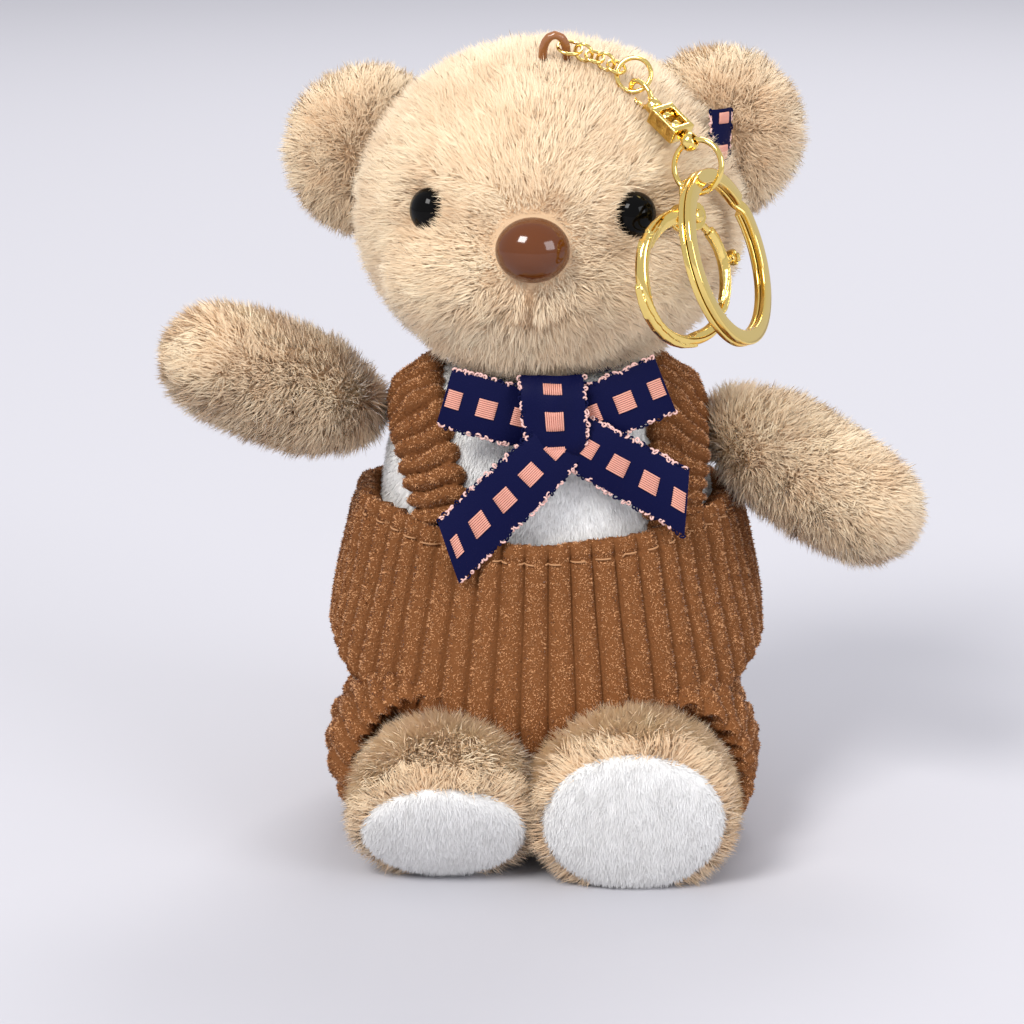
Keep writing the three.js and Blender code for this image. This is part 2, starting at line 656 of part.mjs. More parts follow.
// A bent bar of the clasp's ring between two angles from its top, outer side positive.
class ClaspArc extends THREE.Curve {
  constructor(start, end) {
    super();
    this.start = start;
    this.end = end;
  }
  getPoint(t) {
    const a = this.start + (this.end - this.start) * t;
    return vec(claspRadius * (1 - Math.cos(a)), claspRadius * Math.sin(a), 0);
  }
}
function claspBar(start, end, half, thick, steps) {
  const section = new THREE.Shape().absellipse(0, 0, half, thick, 0, 2 * Math.PI);
  return new THREE.ExtrudeGeometry(section, {
    extrudePath: new ClaspArc(start, end),
    steps,
    curveSegments: 3,
  });
}
const slotHalf = 1.25;
const bossHalf = slotHalf + cheekThickness;
const gateLow = -slotHalf + PLAY;
const hookArc = claspBar(gateEnd - 0.3, 2 * Math.PI - shoulderEnd, claspWire, claspWire, 16);
// The gate ends, and the hook begins, on a circle about the pin, so that the gate can turn inwards.
const sweep = 2 * claspRadius * Math.sin(gateEnd / 2);
const sweepDrum = (radius) => disc(radius, -2 * bossHalf, 2 * bossHalf, 40);
const top = 2 * Math.PI;
const shoulderArc = claspBar(top - shoulderEnd - 0.02, top - 0.05, claspWire * 0.8, claspWire * 1.25, 5);
const boss = disc(bossRadius, -bossHalf, bossHalf, 14);
const gateRoom = new THREE.BoxGeometry(12, 12, 2 * slotHalf);
gateRoom.translate(6 - gateRootRadius - PLAY, 6 - gateRootRadius - PLAY, 0);
const claspEye = ring(claspEyeRadius, claspEyeWire, 14).translate(-claspNeck, 0, 0);
const pinHole = disc(pinRadius + PLAY, -bossHalf - 1, bossHalf + 1);
const footLength = claspNeck - claspEyeRadius - gateRootRadius - PLAY;
const eyeFoot = new THREE.BoxGeometry(footLength, 1.8, 2 * bossHalf - 0.6);
eyeFoot.translate(-gateRootRadius - PLAY - footLength / 2, 0, 0);
const outerHalf = onClasp(new THREE.BoxGeometry(60, 30, 20).translate(0, 15, 0));
const body = join(
  onClasp(boss).subtract(onClasp(gateRoom)),
  onClasp(shoulderArc).subtract(onClasp(gateRoom)),
  onClasp(hookArc).subtract(onClasp(sweepDrum(sweep + PLAY)).intersect(outerHalf)),
  onClasp(eyeFoot),
);
const eyeBore = disc(claspEyeRadius - claspEyeWire, -3, 3, 14).translate(-claspNeck, 0, 0);
const eyeClear = onClasp(eyeBore);
add("clasp_hook", join(body.subtract(eyeClear), onClasp(claspEye)).subtract(onClasp(pinHole)), gold);

const gateMiddle = gateLow + gateThickness / 2;
const gateRoot = disc(gateRootRadius, gateLow, gateLow + gateThickness, 14);
const gateWeb = claspBar(0.02, gateStart + 0.25, 0.75, gateThickness / 2, 5).translate(0, 0, gateMiddle);
const gateBar = claspBar(gateStart + 0.12, gateEnd + 0.3, claspWire * 0.85, claspWire * 0.95, 10);
const knobStem = disc(knobRadius * 0.7, 0, knobReach, 8);
const knobHead = disc(knobRadius * 1.35, knobReach - 0.9, knobReach);
const knobOut = vec(-Math.cos(knobAngle), Math.sin(knobAngle), 0);
const knobSpot = vec(claspRadius * (1 - Math.cos(knobAngle)), claspRadius * Math.sin(knobAngle), 0);
const knobFrame = claspFrame.clone().multiply(frameOf(knobSpot, knobOut, vec(0, 0, 1)));
add(
  "clasp_gate",
  join(
    onClasp(gateRoot),
    onClasp(gateWeb),
    onClasp(gateBar).intersect(onClasp(sweepDrum(sweep))),
    placed(knobStem, knobFrame),
    placed(knobHead, knobFrame),
  ).subtract(onClasp(disc(pinRadius + PLAY * 0.6, -bossHalf, bossHalf))),
  gold,
);

const pinDome = turned([
  [0, bossHalf + 0.25],
  [pinHeadRadius, bossHalf + 0.25],
  [pinHeadRadius * 0.8, bossHalf + 0.7],
  [0, bossHalf + 0.95],
], 12);
const pinFoot = disc(pinHeadRadius * 0.8, -bossHalf - 0.75, -bossHalf - 0.25);
const pinRod = disc(pinRadius, -bossHalf - 0.5, bossHalf + 0.5, 10);
add("gate_pin", join(onClasp(pinDome), onClasp(pinFoot), onClasp(pinRod)), gold);

const springWire = 0.22;
const springPlay = 0.15;
const springPlace = (gateLow + gateThickness + slotHalf) / 2;
const springRing = ring(pinRadius + springWire + springPlay, springWire, 10, 4);
add("gate_spring", onClasp(springRing.translate(0, 0, springPlace)), springSteel);

// ---- split ring -----------------------------------------------------------------------
const splitDown = hangFrom(splitFacing);
const splitWidth = splitOuter - splitInner;
const splitHold = onLink(splitAlong, linkRadius - splitWidth / 2 - linkWire - RING_PLAY);
const splitMiddle = splitHold.clone().addScaledVector(splitDown, (splitOuter + splitInner) / 2);
const splitFrame = frameOf(splitMiddle, splitFacing, splitDown);
const flatTurn = (low) =>
  turned([
    [splitInner, low],
    [splitOuter, low],
    [splitOuter, low + splitTurn],
    [splitInner, low + splitTurn],
    [splitInner, low],
  ], 28);
const upperTurn = splitSlit / 2;
const lowerTurn = -upperTurn - splitTurn;
const middleRadius = (splitOuter + splitInner) / 2;
// A radial cut through one turn, centred at an angle from the top towards the outer side.
function radialCut(angle, low, high) {
  const wide = 2 * middleRadius * Math.tan(splitGapHalf);
  const box = new THREE.BoxGeometry(3 * splitWidth, wide, high - low);
  return box.translate(-middleRadius, 0, (low + high) / 2).rotateZ(-angle);
}
const crossing = radialCut(splitGapAt, lowerTurn, upperTurn + splitTurn);
const gapWide = 2 * middleRadius * Math.tan(splitGapHalf);
const crossingBar = new THREE.BoxGeometry(splitWidth, gapWide + 2 * GAP, splitTurn);
crossingBar.rotateX(Math.atan2(splitTurn + splitSlit, gapWide));
crossingBar.translate(-middleRadius, 0, 0).rotateZ(-splitGapAt);
const onSplit = (geometry) => placed(geometry, splitFrame);
const beside = 2 * splitGapHalf;
add(
  "split_ring",
  join(
    onSplit(flatTurn(upperTurn)).subtract(onSplit(radialCut(splitGapAt + beside * 0.5, 0, 2 * splitTurn))),
    onSplit(flatTurn(lowerTurn)).subtract(onSplit(radialCut(splitGapAt - beside * 0.5, -2 * splitTurn, 0))),
    onSplit(crossingBar),
  ),
  gold,
);

export default part;
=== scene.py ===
"""Seated plush bear in corduroy dungarees with gold key hardware: the looks round the CAD frame.

The bear faces -Y and its own right side is at -X. Lengths in this file are metres; MM turns
millimetres into them. Every soft part is rebuilt over its CAD solid and then covered in its own
pile, and the fine metal parts are redrawn smoothly in place.
"""

import json
import logging
import math
from dataclasses import dataclass, field
from enum import Enum
from typing import Callable, Sequence

import bpy
import numpy as np
from mathutils import Matrix, Vector, kdtree, noise


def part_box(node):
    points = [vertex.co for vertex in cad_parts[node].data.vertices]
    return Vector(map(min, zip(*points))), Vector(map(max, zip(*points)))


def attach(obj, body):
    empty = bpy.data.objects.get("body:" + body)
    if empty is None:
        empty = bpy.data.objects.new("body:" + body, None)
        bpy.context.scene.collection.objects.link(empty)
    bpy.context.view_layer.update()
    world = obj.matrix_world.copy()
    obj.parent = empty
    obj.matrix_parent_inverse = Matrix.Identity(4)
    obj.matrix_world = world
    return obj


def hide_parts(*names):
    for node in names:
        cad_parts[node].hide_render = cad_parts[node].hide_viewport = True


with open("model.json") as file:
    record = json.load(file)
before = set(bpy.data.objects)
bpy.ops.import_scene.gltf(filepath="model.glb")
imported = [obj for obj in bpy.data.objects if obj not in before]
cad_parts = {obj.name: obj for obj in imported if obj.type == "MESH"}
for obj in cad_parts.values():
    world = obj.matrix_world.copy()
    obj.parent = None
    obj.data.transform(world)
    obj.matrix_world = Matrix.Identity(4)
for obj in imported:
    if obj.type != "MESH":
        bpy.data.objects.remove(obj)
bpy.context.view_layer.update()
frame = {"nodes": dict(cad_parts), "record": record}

logging.basicConfig(level=logging.INFO, format="%(message)s")
LOG = logging.getLogger("plush")
noise.seed_set(17)  # without it Blender seeds noise_vector from the clock, and each run differs

MM = 0.001
Array = np.ndarray
MOST_TRIANGLES = 186000  # in one piece of pile, which keeps it under the limit for a piece
FLOOR_CLEAR = 0.05 * MM  # the lowest that any pile reaches
SIDES = (("right", -1), ("left", 1))
DOWN = np.array([0, 0, -1])
WELD = 1e-6  # vertices nearer than this are one
FULL_TURN = 2 * math.pi


class Body(str, Enum):
    """The moving bodies that pieces ride on."""

    BEAR = "bear"
    ARM_RIGHT = "arm_right"
    ARM_LEFT = "arm_left"


class Slot(str, Enum):
    """The record's material slots."""

    TAN_FUR = "tan_fur"
    WHITE_PLUSH = "white_plush"
    BLACK_EYE = "black_eye"
    AMBER_NOSE = "amber_nose"
    CORDUROY = "brown_corduroy"
    RIBBON = "navy_ribbon"
    CORD = "brown_cord"
    GOLD = "gold_metal"


# ---- finishes -------------------------------------------------------------------------------


@dataclass(frozen=True)
class Finish:
    """One surface finish of uniform colour.

    Args:
        name: the material's name.
        colour: linear base colour.
        roughness: from 0, a mirror, to 1.
        metallic: 1 for bare metal.
        sheen: strength of the soft edge glow of cloth and pile.
        coat: strength of a clear glossy layer.
        gloss: strength of the surface's own reflection.
        grain: height of the fine surface relief, in metres; 0 leaves it smooth.
        grain_size: size of one grain, in metres.
    """

    name: str
    colour: tuple[float, float, float]
    roughness: float
    metallic: float = 0.0
    sheen: float = 0.0
    coat: float = 0.0
    gloss: float = 0.5
    grain: float = 0.0
    grain_size: float = 0.5 * MM

    def material(self) -> bpy.types.Material:
        """Makes the material, or returns the one made before.

        Returns:
            The material.
        """
        found = bpy.data.materials.get(self.name)
        if found:
            return found
        made = bpy.data.materials.new(self.name)
        made.use_nodes = True
        nodes = made.node_tree.nodes
        shader = nodes["Principled BSDF"]
        shader.inputs["Base Color"].default_value = (*self.colour, 1.0)
        shader.inputs["Roughness"].default_value = self.roughness
        shader.inputs["Metallic"].default_value = self.metallic
        shader.inputs["Sheen Weight"].default_value = self.sheen
        shader.inputs["Coat Weight"].default_value = self.coat
        shader.inputs["Coat Roughness"].default_value = 0.05
        shader.inputs["Specular IOR Level"].default_value = self.gloss
        if self.grain:
            links = made.node_tree.links
            place = nodes.new("ShaderNodeTexCoord")
            grains = nodes.new("ShaderNodeTexNoise")
            grains.inputs["Scale"].default_value = 1 / self.grain_size
            relief = nodes.new("ShaderNodeBump")
            relief.inputs["Distance"].default_value = self.grain
            links.new(place.outputs["Object"], grains.inputs["Vector"])
            links.new(grains.outputs["Fac"], relief.inputs["Height"])
            links.new(relief.outputs["Normal"], shader.inputs["Normal"])
        return made


def tones(name: str, dark: Sequence[float], light: Sequence[float], count: int, sheen: float) -> list[Finish]:
    """A run of finishes for one kind of pile, from its darkest tone, also used as painted shade at the
    strands' roots, to its palest.

    Args:
        name: the first part of each finish's name.
        dark: linear colour of the deepest tone.
        light: linear colour of the palest tone.
        count: how many tones.
        sheen: sheen of each.

    Returns:
        The finishes, darkest first.
    """
    mixed = [np.array(dark) + (np.array(light) - np.array(dark)) * i / (count - 1) for i in range(count)]
    return [Finish(f"{name}_{i}", tuple(c), 0.8, sheen=sheen, gloss=0.15) for i, c in enumerate(mixed)]


FUR_TONES = tones("tan_fur", (0.74, 0.50, 0.295), (1.0, 0.84, 0.60), 6, 0.4)
WHITE_TONES = tones("white_plush", (0.80, 0.79, 0.77), (0.98, 0.975, 0.96), 4, 0.2)
CORDUROY_TONES = tones("corduroy", (0.13, 0.048, 0.016), (0.66, 0.33, 0.15), 6, 0.2)
# the fur's backing is darker than most of the pile: painted shade deep among the roots
FUR_BACKING = Finish("fur_backing", (0.78, 0.55, 0.34), 0.9, gloss=0.1)
WHITE_BACKING = Finish("white_backing", (0.86, 0.85, 0.83), 0.9)
# dark cloth: painted shade in the grooves, where the nap leaves it bare
CORDUROY_CLOTH = Finish("corduroy_cloth", (0.19, 0.072, 0.024), 0.9, gloss=0.1, grain=0.25 * MM)
STITCH_THREAD = Finish("stitch_thread", (0.46, 0.23, 0.10), 0.7)
NAVY_WEAVE = Finish(
    "navy_weave", (0.002, 0.0032, 0.036), 0.6, gloss=0.1, grain=0.06 * MM, grain_size=0.25 * MM
)
PINK_THREAD = Finish("pink_thread", (0.72, 0.33, 0.25), 0.45)
PICOT_THREAD = Finish("picot_thread", (0.80, 0.50, 0.45), 0.6)
BROWN_CORD = Finish("crown_cord", (0.30, 0.11, 0.03), 0.25, coat=0.5)
GOLD = Finish("gold_plate", (0.93, 0.69, 0.22), 0.1, metallic=1.0)
BLACK_EYE = Finish("eye_gloss", (0.0015, 0.0013, 0.0012), 0.05, gloss=0.12)
AMBER_NOSE = Finish("nose_gloss", (0.115, 0.028, 0.0022), 0.1, gloss=0.55)


# ---- mesh helpers -----------------------------------------------------------------------------


def unit(rows: Array) -> Array:
    """Rows scaled to length 1.

    Args:
        rows: vectors, one in each row.

    Returns:
        The scaled rows.
    """
    return rows / np.maximum(np.linalg.norm(rows, axis=-1, keepdims=True), 1e-12)


def points_of(node: str) -> Array:
    """The vertices of a CAD node.

    Args:
        node: the node's name.

    Returns:
        One point in each row, in metres.
    """
    mesh = frame["nodes"][node].data
    co = np.empty(len(mesh.vertices) * 3)
    mesh.vertices.foreach_get("co", co)
    return co.reshape(-1, 3)


def swirl(spots: Array, rate: float) -> Array:
    """A smooth random way at each point.

    Args:
        spots: the points.
        rate: how fast it changes, in turns of the pattern for each metre.

    Returns:
        One vector in each row.
    """
    return np.array([noise.noise_vector(Vector(spot * rate)) for spot in spots])


def patches(spots: Array, rate: float) -> Array:
    """A smooth random number at each point.

    Args:
        spots: the points.
        rate: how fast it changes, in turns of the pattern for each metre.

    Returns:
        Numbers from about -1 to 1.
    """
    return np.array([noise.noise(Vector(spot * rate)) for spot in spots])


def box_of(node: str) -> tuple[Array, Array]:
    """A CAD node's box.

    Args:
        node: the node's name.

    Returns:
        Its lowest and its highest corner.
    """
    low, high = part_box(node)
    return np.array(low), np.array(high)


def centre_of(node: str) -> Array:
    """The middle of a CAD node's box.

    Args:
        node: the node's name.

    Returns:
        The point.
    """
    low, high = box_of(node)
    return (low + high) / 2


def make_mesh(
    name: str, points: Array, faces: Array, finishes: Sequence[Finish], index: Array | None = None
) -> bpy.types.Object:
    """Makes a mesh object from arrays.

    Args:
        name: the piece's name.
        points: one vertex in each row.
        faces: one face in each row, all with the same number of corners.
        finishes: the piece's finishes, one for each material slot.
        index: the material slot of each face, or None for the first.

    Returns:
        The object, at the origin.
    """
    mesh = bpy.data.meshes.new(name)
    corners = faces.shape[1]
    mesh.vertices.add(len(points))
    mesh.vertices.foreach_set("co", np.ascontiguousarray(points, np.float32).ravel())
    mesh.loops.add(faces.size)
    mesh.loops.foreach_set("vertex_index", np.ascontiguousarray(faces, np.int32).ravel())
    mesh.polygons.add(len(faces))
    mesh.polygons.foreach_set("loop_start", np.arange(0, faces.size, corners, dtype=np.int32))
    for finish in finishes:
        mesh.materials.append(finish.material())
    if index is not None:
        mesh.polygons.foreach_set("material_index", np.ascontiguousarray(index, np.int32))
    mesh.update(calc_edges=True)
    obj = bpy.data.objects.new(name, mesh)
    bpy.context.scene.collection.objects.link(obj)
    return obj


def grid_faces(rows: int, columns: int, rows_meet: bool, columns_meet: bool) -> Array:
    """The faces between a grid's points, which are numbered row by row.

    Args:
        rows: how many rows of points.
        columns: how many points in a row.
        rows_meet: whether the last row joins the first.
        columns_meet: whether each row is a closed ring.

    Returns:
        Four corners in each row, the first row of the grid and the first column first.
    """
    i, j = np.meshgrid(
        np.arange(rows if rows_meet else rows - 1),
        np.arange(columns if columns_meet else columns - 1),
        indexing="ij",
    )
    after, beside = (i + 1) % rows, (j + 1) % columns
    corners = [i * columns + j, i * columns + beside, after * columns + beside, after * columns + j]
    return np.stack(corners, axis=-1).reshape(-1, 4)


def choose(obj: bpy.types.Object) -> None:
    """Makes an object the only one selected, and the active one.

    Args:
        obj: the object.
    """
    bpy.ops.object.select_all(action="DESELECT")
    obj.select_set(True)
    bpy.context.view_layer.objects.active = obj


def face_out(obj: bpy.types.Object, weld: float = 0.0) -> None:
    """Turns an object's faces outwards.

    Args:
        obj: the object.
        weld: how near two vertices are made one first, in metres; 0 leaves them.
    """
    choose(obj)
    bpy.ops.object.mode_set(mode="EDIT")
    bpy.ops.mesh.select_all(action="SELECT")
    if weld:
        bpy.ops.mesh.remove_doubles(threshold=weld)
        bpy.ops.mesh.delete_loose()
        bpy.ops.mesh.select_all(action="SELECT")
    bpy.ops.mesh.normals_make_consistent(inside=False)
    bpy.ops.object.mode_set(mode="OBJECT")


def settle(obj: bpy.types.Object) -> None:
    """Applies an object's place and all its modifiers.

    Args:
        obj: the object.
    """
    choose(obj)
    for modifier in list(obj.modifiers):
        bpy.ops.object.modifier_apply(modifier=modifier.name)
    bpy.ops.object.transform_apply(location=True, rotation=True, scale=True)


def smooth_shaded(obj: bpy.types.Object) -> None:
    """Shades an object smoothly.

    Args:
        obj: the object.
    """
    choose(obj)
    bpy.ops.object.shade_smooth()


def remesh(obj: bpy.types.Object, voxel: float, rounds: int, factor: float = 0.5) -> None:
    """Rebuilds an object as one even skin and smooths it.

    Args:
        obj: the object.
        voxel: size of the new faces, in metres.
        rounds: how many smoothing rounds.
        factor: how far each round moves a vertex.
    """
    skin = obj.modifiers.new("skin", "REMESH")
    skin.mode = "VOXEL"
    skin.voxel_size = voxel
    if rounds:
        soften = obj.modifiers.new("soften", "SMOOTH")
        soften.iterations = rounds
        soften.factor = factor
    settle(obj)


def grow(obj: bpy.types.Object, distance: float) -> None:
    """Moves an object's skin out along its own normals.

    Args:
        obj: the object.
        distance: how far, in metres.
    """
    skin = Skin.of(obj)
    skin.put(obj, skin.points + skin.vertex_normals * distance)


@dataclass
class Skin:
    """A mesh's surface as arrays.

    Args:
        points: the vertices.
        vertex_normals: their normals.
        triangles: corner indices of each triangle.
    """

    points: Array
    vertex_normals: Array
    triangles: Array

    @classmethod
    def of(cls, obj: bpy.types.Object) -> "Skin":
        """Reads an object's mesh.

        Args:
            obj: the object.

        Returns:
            Its surface.
        """
        mesh = obj.data
        co = np.empty(len(mesh.vertices) * 3)
        mesh.vertices.foreach_get("co", co)
        normals = np.empty(len(mesh.vertices) * 3)
        mesh.vertices.foreach_get("normal", normals)
        mesh.calc_loop_triangles()
        corners = np.empty(len(mesh.loop_triangles) * 3, np.int32)
        mesh.loop_triangles.foreach_get("vertices", corners)
        return cls(co.reshape(-1, 3), normals.reshape(-1, 3), corners.reshape(-1, 3))

    def put(self, obj: bpy.types.Object, points: Array) -> None:
        """Writes moved vertices back.

        Args:
            obj: the object they belong to.
            points: their new places.
        """
        obj.data.vertices.foreach_set("co", np.ascontiguousarray(points, np.float32).ravel())
        obj.data.update()

    def scatter(self, count_per_area: float, rng: np.random.Generator) -> tuple[Array, Array]:
        """Picks random places on the surface.

        Args:
            count_per_area: how many on each square metre.
            rng: the random draws.

        Returns:
            The points and the surface's normals there.
        """
        a, b, c = (self.points[self.triangles[:, i]] for i in range(3))
        area = np.linalg.norm(np.cross(b - a, c - a), axis=1) / 2
        total = int(area.sum() * count_per_area)
        chosen = rng.choice(len(area), total, p=area / area.sum())
        u, v = rng.random(total), rng.random(total)
        fold = u + v > 1
        u[fold], v[fold] = 1 - u[fold], 1 - v[fold]
        w = 1 - u - v
        weights = np.stack([w, u, v], axis=1)[:, :, None]
        spots = (self.points[self.triangles[chosen]] * weights).sum(axis=1)
        normals = unit((self.vertex_normals[self.triangles[chosen]] * weights).sum(axis=1))
        return spots, normals


def soft_copy(
    node: str, name: str, backing: Finish, swell: float, voxel: float, rounds: int
) -> bpy.types.Object:
    """A rounded copy of a CAD solid, for a soft part.

    Args:
        node: the CAD node that gives the form.
        name: the piece's name.
        backing: its finish.
        swell: how far it stands outside the node, in metres.
        voxel: size of its faces, in metres.
        rounds: smoothing rounds.

    Returns:
        The object.
    """
    obj = frame["nodes"][node].copy()
    obj.data = obj.data.copy()
    obj.name = name
    obj.parent = None
    for key in [key for key in obj.keys() if key.startswith("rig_")]:
        del obj[key]
    obj.hide_render = obj.hide_viewport = False
    bpy.context.scene.collection.objects.link(obj)
    remesh(obj, voxel, rounds)
    if swell:
        grow(obj, swell)
    obj.data.materials.clear()
    obj.data.materials.append(backing.material())
    smooth_shaded(obj)
    return obj


def ball(
    name: str, centre: Array, radii: Sequence[float], finish: Finish, turn: Matrix | None = None
) -> bpy.types.Object:
    """An ellipsoid.

    Args:
        name: the piece's name.
        centre: its middle.
        radii: its three half sizes before it is turned.
        finish: its finish.
        turn: how it is turned, or None.

    Returns:
        The object.
    """
    bpy.ops.mesh.primitive_uv_sphere_add(segments=48, ring_count=24, radius=1)
    obj = bpy.context.object
    obj.name = name
    size = Matrix.Diagonal((*radii, 1))
    obj.data.transform(Matrix.Translation(Vector(centre)) @ (turn or Matrix.Identity(4)) @ size)
    obj.data.materials.append(finish.material())
    smooth_shaded(obj)
    return obj


def merge(objects: Sequence[bpy.types.Object], name: str) -> bpy.types.Object:
    """Joins objects into one.

    Args:
        objects: what to join.
        name: the joined piece's name.

    Returns:
        The joined object.
    """
    choose(objects[0])
    for obj in objects[1:]:
        obj.select_set(True)
    bpy.ops.object.join()
    bpy.context.object.name = name
    return bpy.context.object


# ---- pile ---------------------------------------------------------------------------------------


@dataclass(frozen=True)
class Pile:
    """How one kind of pile grows.

    Args:
        finishes: its tones, darkest first.
        density: strands on each square metre.
        length: of a strand, in metres.
        width: of a strand at its root, in metres.
        lean: how far strands lie over along the nap, as a share of their rise.
        scatter: how much neighbours differ in direction.
        clump: size of the tufts that strands gather in, in metres.
        pull: how far tips gather to their tuft, from 0 to 1.
        bent: whether a strand has a bend, or is one straight spike.
        seed: of the random draws.
    """

    finishes: Sequence[Finish]
    density: float
    length: float
    width: float
    lean: float
    scatter: float
    clump: float
    pull: float
    bent: bool = True
    seed: int = 1

    @property
    def faces_each(self) -> int:
        """How many triangles a strand has."""
        return 3 if self.bent else 1

    def grow_on(
        self,
        obj: bpy.types.Object,
        name: str,
        nap: Callable[[Array, Array], Array],
        share: Callable[[Array, Array], Array] | None = None,
        shade: Callable[[Array], Array] | None = None,
    ) -> list[bpy.types.Object]:
        """Grows the pile on an object's skin.

        Args:
            obj: the skin.
            name: the first part of each piece's name.
            nap: from points and normals, the way the strands are brushed there.
            share: from points and normals, each strand's share of the full length, 0 for none.
            shade: from points, how much darker the pile is there, in tones.

        Returns:
            The pieces of pile.
        """
        rng = np.random.default_rng(self.seed)
        spots, normals = Skin.of(obj).scatter(self.density, rng)
        sizes = np.ones(len(spots)) if share is None else share(spots, normals)
        kept = sizes > 0.05
        spots, normals, sizes = spots[kept], normals[kept], sizes[kept]
        brushed = nap(spots, normals)
        brushed = unit(brushed - normals * (brushed * normals).sum(axis=1, keepdims=True))
        ways = unit(normals + brushed * self.lean + rng.normal(0, self.scatter, spots.shape))
        lengths = self.length * sizes * rng.uniform(0.75, 1.15, len(spots))
        clumps, offsets, tuft = self._tufts(spots, rng)
        tip_ways = unit(ways + brushed * self.lean * 0.55 + offsets * self.pull)
        tone = self._tones(spots, tuft, clumps, rng)
        if shade is not None:
            tone = tone - shade(spots)
        pieces = []
        blocks = max(1, math.ceil(len(spots) * self.faces_each / MOST_TRIANGLES))
        for i, block in enumerate(np.array_split(np.arange(len(spots)), blocks)):
            rows = (part[block] for part in (spots, normals, ways, tip_ways, lengths, tone))
            pieces.append(self._strands(f"{name}_{i + 1}", *rows, rng))
        LOG.info("%s: %d strands in %d pieces", name, len(spots), len(pieces))
        return pieces

    def _tufts(self, spots: Array, rng: np.random.Generator) -> tuple[int, Array, Array]:
        """Finds each strand's tuft.

        Args:
            spots: the roots.
            rng: the random draws.

        Returns:
            The number of tufts, the way from each root towards its tuft's tip, and its tuft.
        """
        count = max(8, int(len(spots) / max(self.density * self.clump**2, 1)))
        heads = spots[rng.choice(len(spots), min(count, len(spots)), replace=False)]
        tree = kdtree.KDTree(len(heads))
        for i, head in enumerate(heads):
            tree.insert(head, i)
        tree.balance()
        tuft = np.array([tree.find(spot)[1] for spot in spots])
        return len(heads), (heads[tuft] - spots) / self.clump, tuft

    def _tones(self, spots: Array, tuft: Array, clumps: int, rng: np.random.Generator) -> Array:
        """Picks each strand's place in the run of tones.

        Args:
            spots: the roots.
            tuft: each strand's tuft.
            clumps: the number of tufts.
            rng: the random draws.

        Returns:
            A tone for each strand, as a number of steps from the darkest.
        """
        steps = len(self.finishes) - 1
        by_tuft = rng.normal(0, 0.5, clumps)[tuft]
        return 0.62 * steps + by_tuft + rng.normal(0, 0.6, len(spots))

    def _strands(
        self,
        name: str,
        roots: Array,
        normals: Array,
        ways: Array,
        tip_ways: Array,
        lengths: Array,
        tone: Array,
        rng: np.random.Generator,
    ) -> bpy.types.Object:
        """Builds one piece of pile.

        Args:
            name: the piece's name.
            roots: where the strands start.
            normals: the skin's normals there.
            ways: the way each strand leaves the skin.
            tip_ways: the way its upper half goes.
            lengths: its length.
            tone: its tone.
            rng: the random draws.

        Returns:
            The object.
        """
        across = unit(np.cross(ways, normals) + rng.normal(0, 0.25, roots.shape))
        half = (across * self.width / 2) * rng.uniform(0.7, 1.2, (len(roots), 1))
        start = roots - normals * 0.2 * MM
        reach = lengths[:, None]
        steps = len(self.finishes) - 1
        upper = np.clip(np.round(tone), 0, steps).astype(int)
        count = len(roots)
        if self.bent:
            middle = start + ways * reach * 0.5
            tip = middle + tip_ways * reach * 0.5
            narrowed = half * 0.8
            corners = [start - half, start + half, middle + narrowed, middle - narrowed, tip]
            points = np.stack(corners, axis=1)
            base = np.arange(count)[:, None] * 5
            faces = (base + [0, 1, 2, 0, 2, 3, 3, 2, 4]).reshape(-1, 3)
            # the lower part of each bent strand takes the next darker tone, painted shade near the roots; the
            # tip keeps the strand's own tone
            lower = np.clip(upper - 1, 0, steps)
            index = np.stack([lower, lower, upper], axis=1).ravel()
            per_strand = 5
        else:
            tip = start + unit(ways + tip_ways) * reach
            points = np.stack([start - half, start + half, tip], axis=1)
            faces = np.arange(count * 3).reshape(-1, 3)
            index = upper
            per_strand = 3
        points[:, :, 2] = np.maximum(points[:, :, 2], FLOOR_CLEAR)
        a, b, c = points[:, 0], points[:, 1], points[:, -1]
        facing = unit(np.cross(b - a, c - a))
        flipped = (facing * normals).sum(axis=1) < 0
        facing[flipped] *= -1
        flip_faces = np.repeat(flipped, self.faces_each)
        faces[flip_faces] = faces[flip_faces][:, ::-1]
        obj = make_mesh(name, points.reshape(-1, 3), faces, self.finishes, index)
        soft = unit(normals * 0.8 + facing * 0.2 + rng.normal(0, 0.08, roots.shape))
        obj.data.normals_split_custom_set_from_vertices(np.repeat(soft, per_strand, axis=0))
        return obj


PER_MM2 = 1e6
HEAD_FUR = Pile(
    FUR_TONES,
    density=19 * PER_MM2,
    length=4.2 * MM,
    width=0.232 * MM,
    lean=0.65,
    scatter=0.28,
    clump=2.3 * MM,
    pull=0.7,
    seed=11,
)
EAR_FUR = Pile(
    FUR_TONES,
    density=19 * PER_MM2,
    length=3.9 * MM,
    width=0.232 * MM,
    lean=0.4,
    scatter=0.3,
    clump=2.2 * MM,
    pull=0.8,
    seed=12,
)
ARM_FUR = Pile(
    FUR_TONES,
    density=16 * PER_MM2,
    length=3.9 * MM,
    width=0.245 * MM,
    lean=0.6,
    scatter=0.28,
    clump=2.2 * MM,
    pull=0.65,
    seed=13,
)
FOOT_FUR = Pile(
    FUR_TONES,
    density=17 * PER_MM2,
    length=4.2 * MM,
    width=0.24 * MM,
    lean=0.65,
    scatter=0.28,
    clump=1.9 * MM,
    pull=0.55,
    seed=14,
)
WHITE_PILE = Pile(
    WHITE_TONES,
    density=16 * PER_MM2,
    length=1.3 * MM,
    width=0.235 * MM,
    lean=0.9,
    scatter=0.2,
    clump=1.3 * MM,
    pull=0.2,
    bent=False,
    seed=15,
)
SOLE_PILE = Pile(
    WHITE_TONES,
    density=22 * PER_MM2,
    length=1.3 * MM,
    width=0.2 * MM,
    lean=0.8,
    scatter=0.3,
    clump=1.6 * MM,
    pull=0.4,
    bent=False,
    seed=16,
)
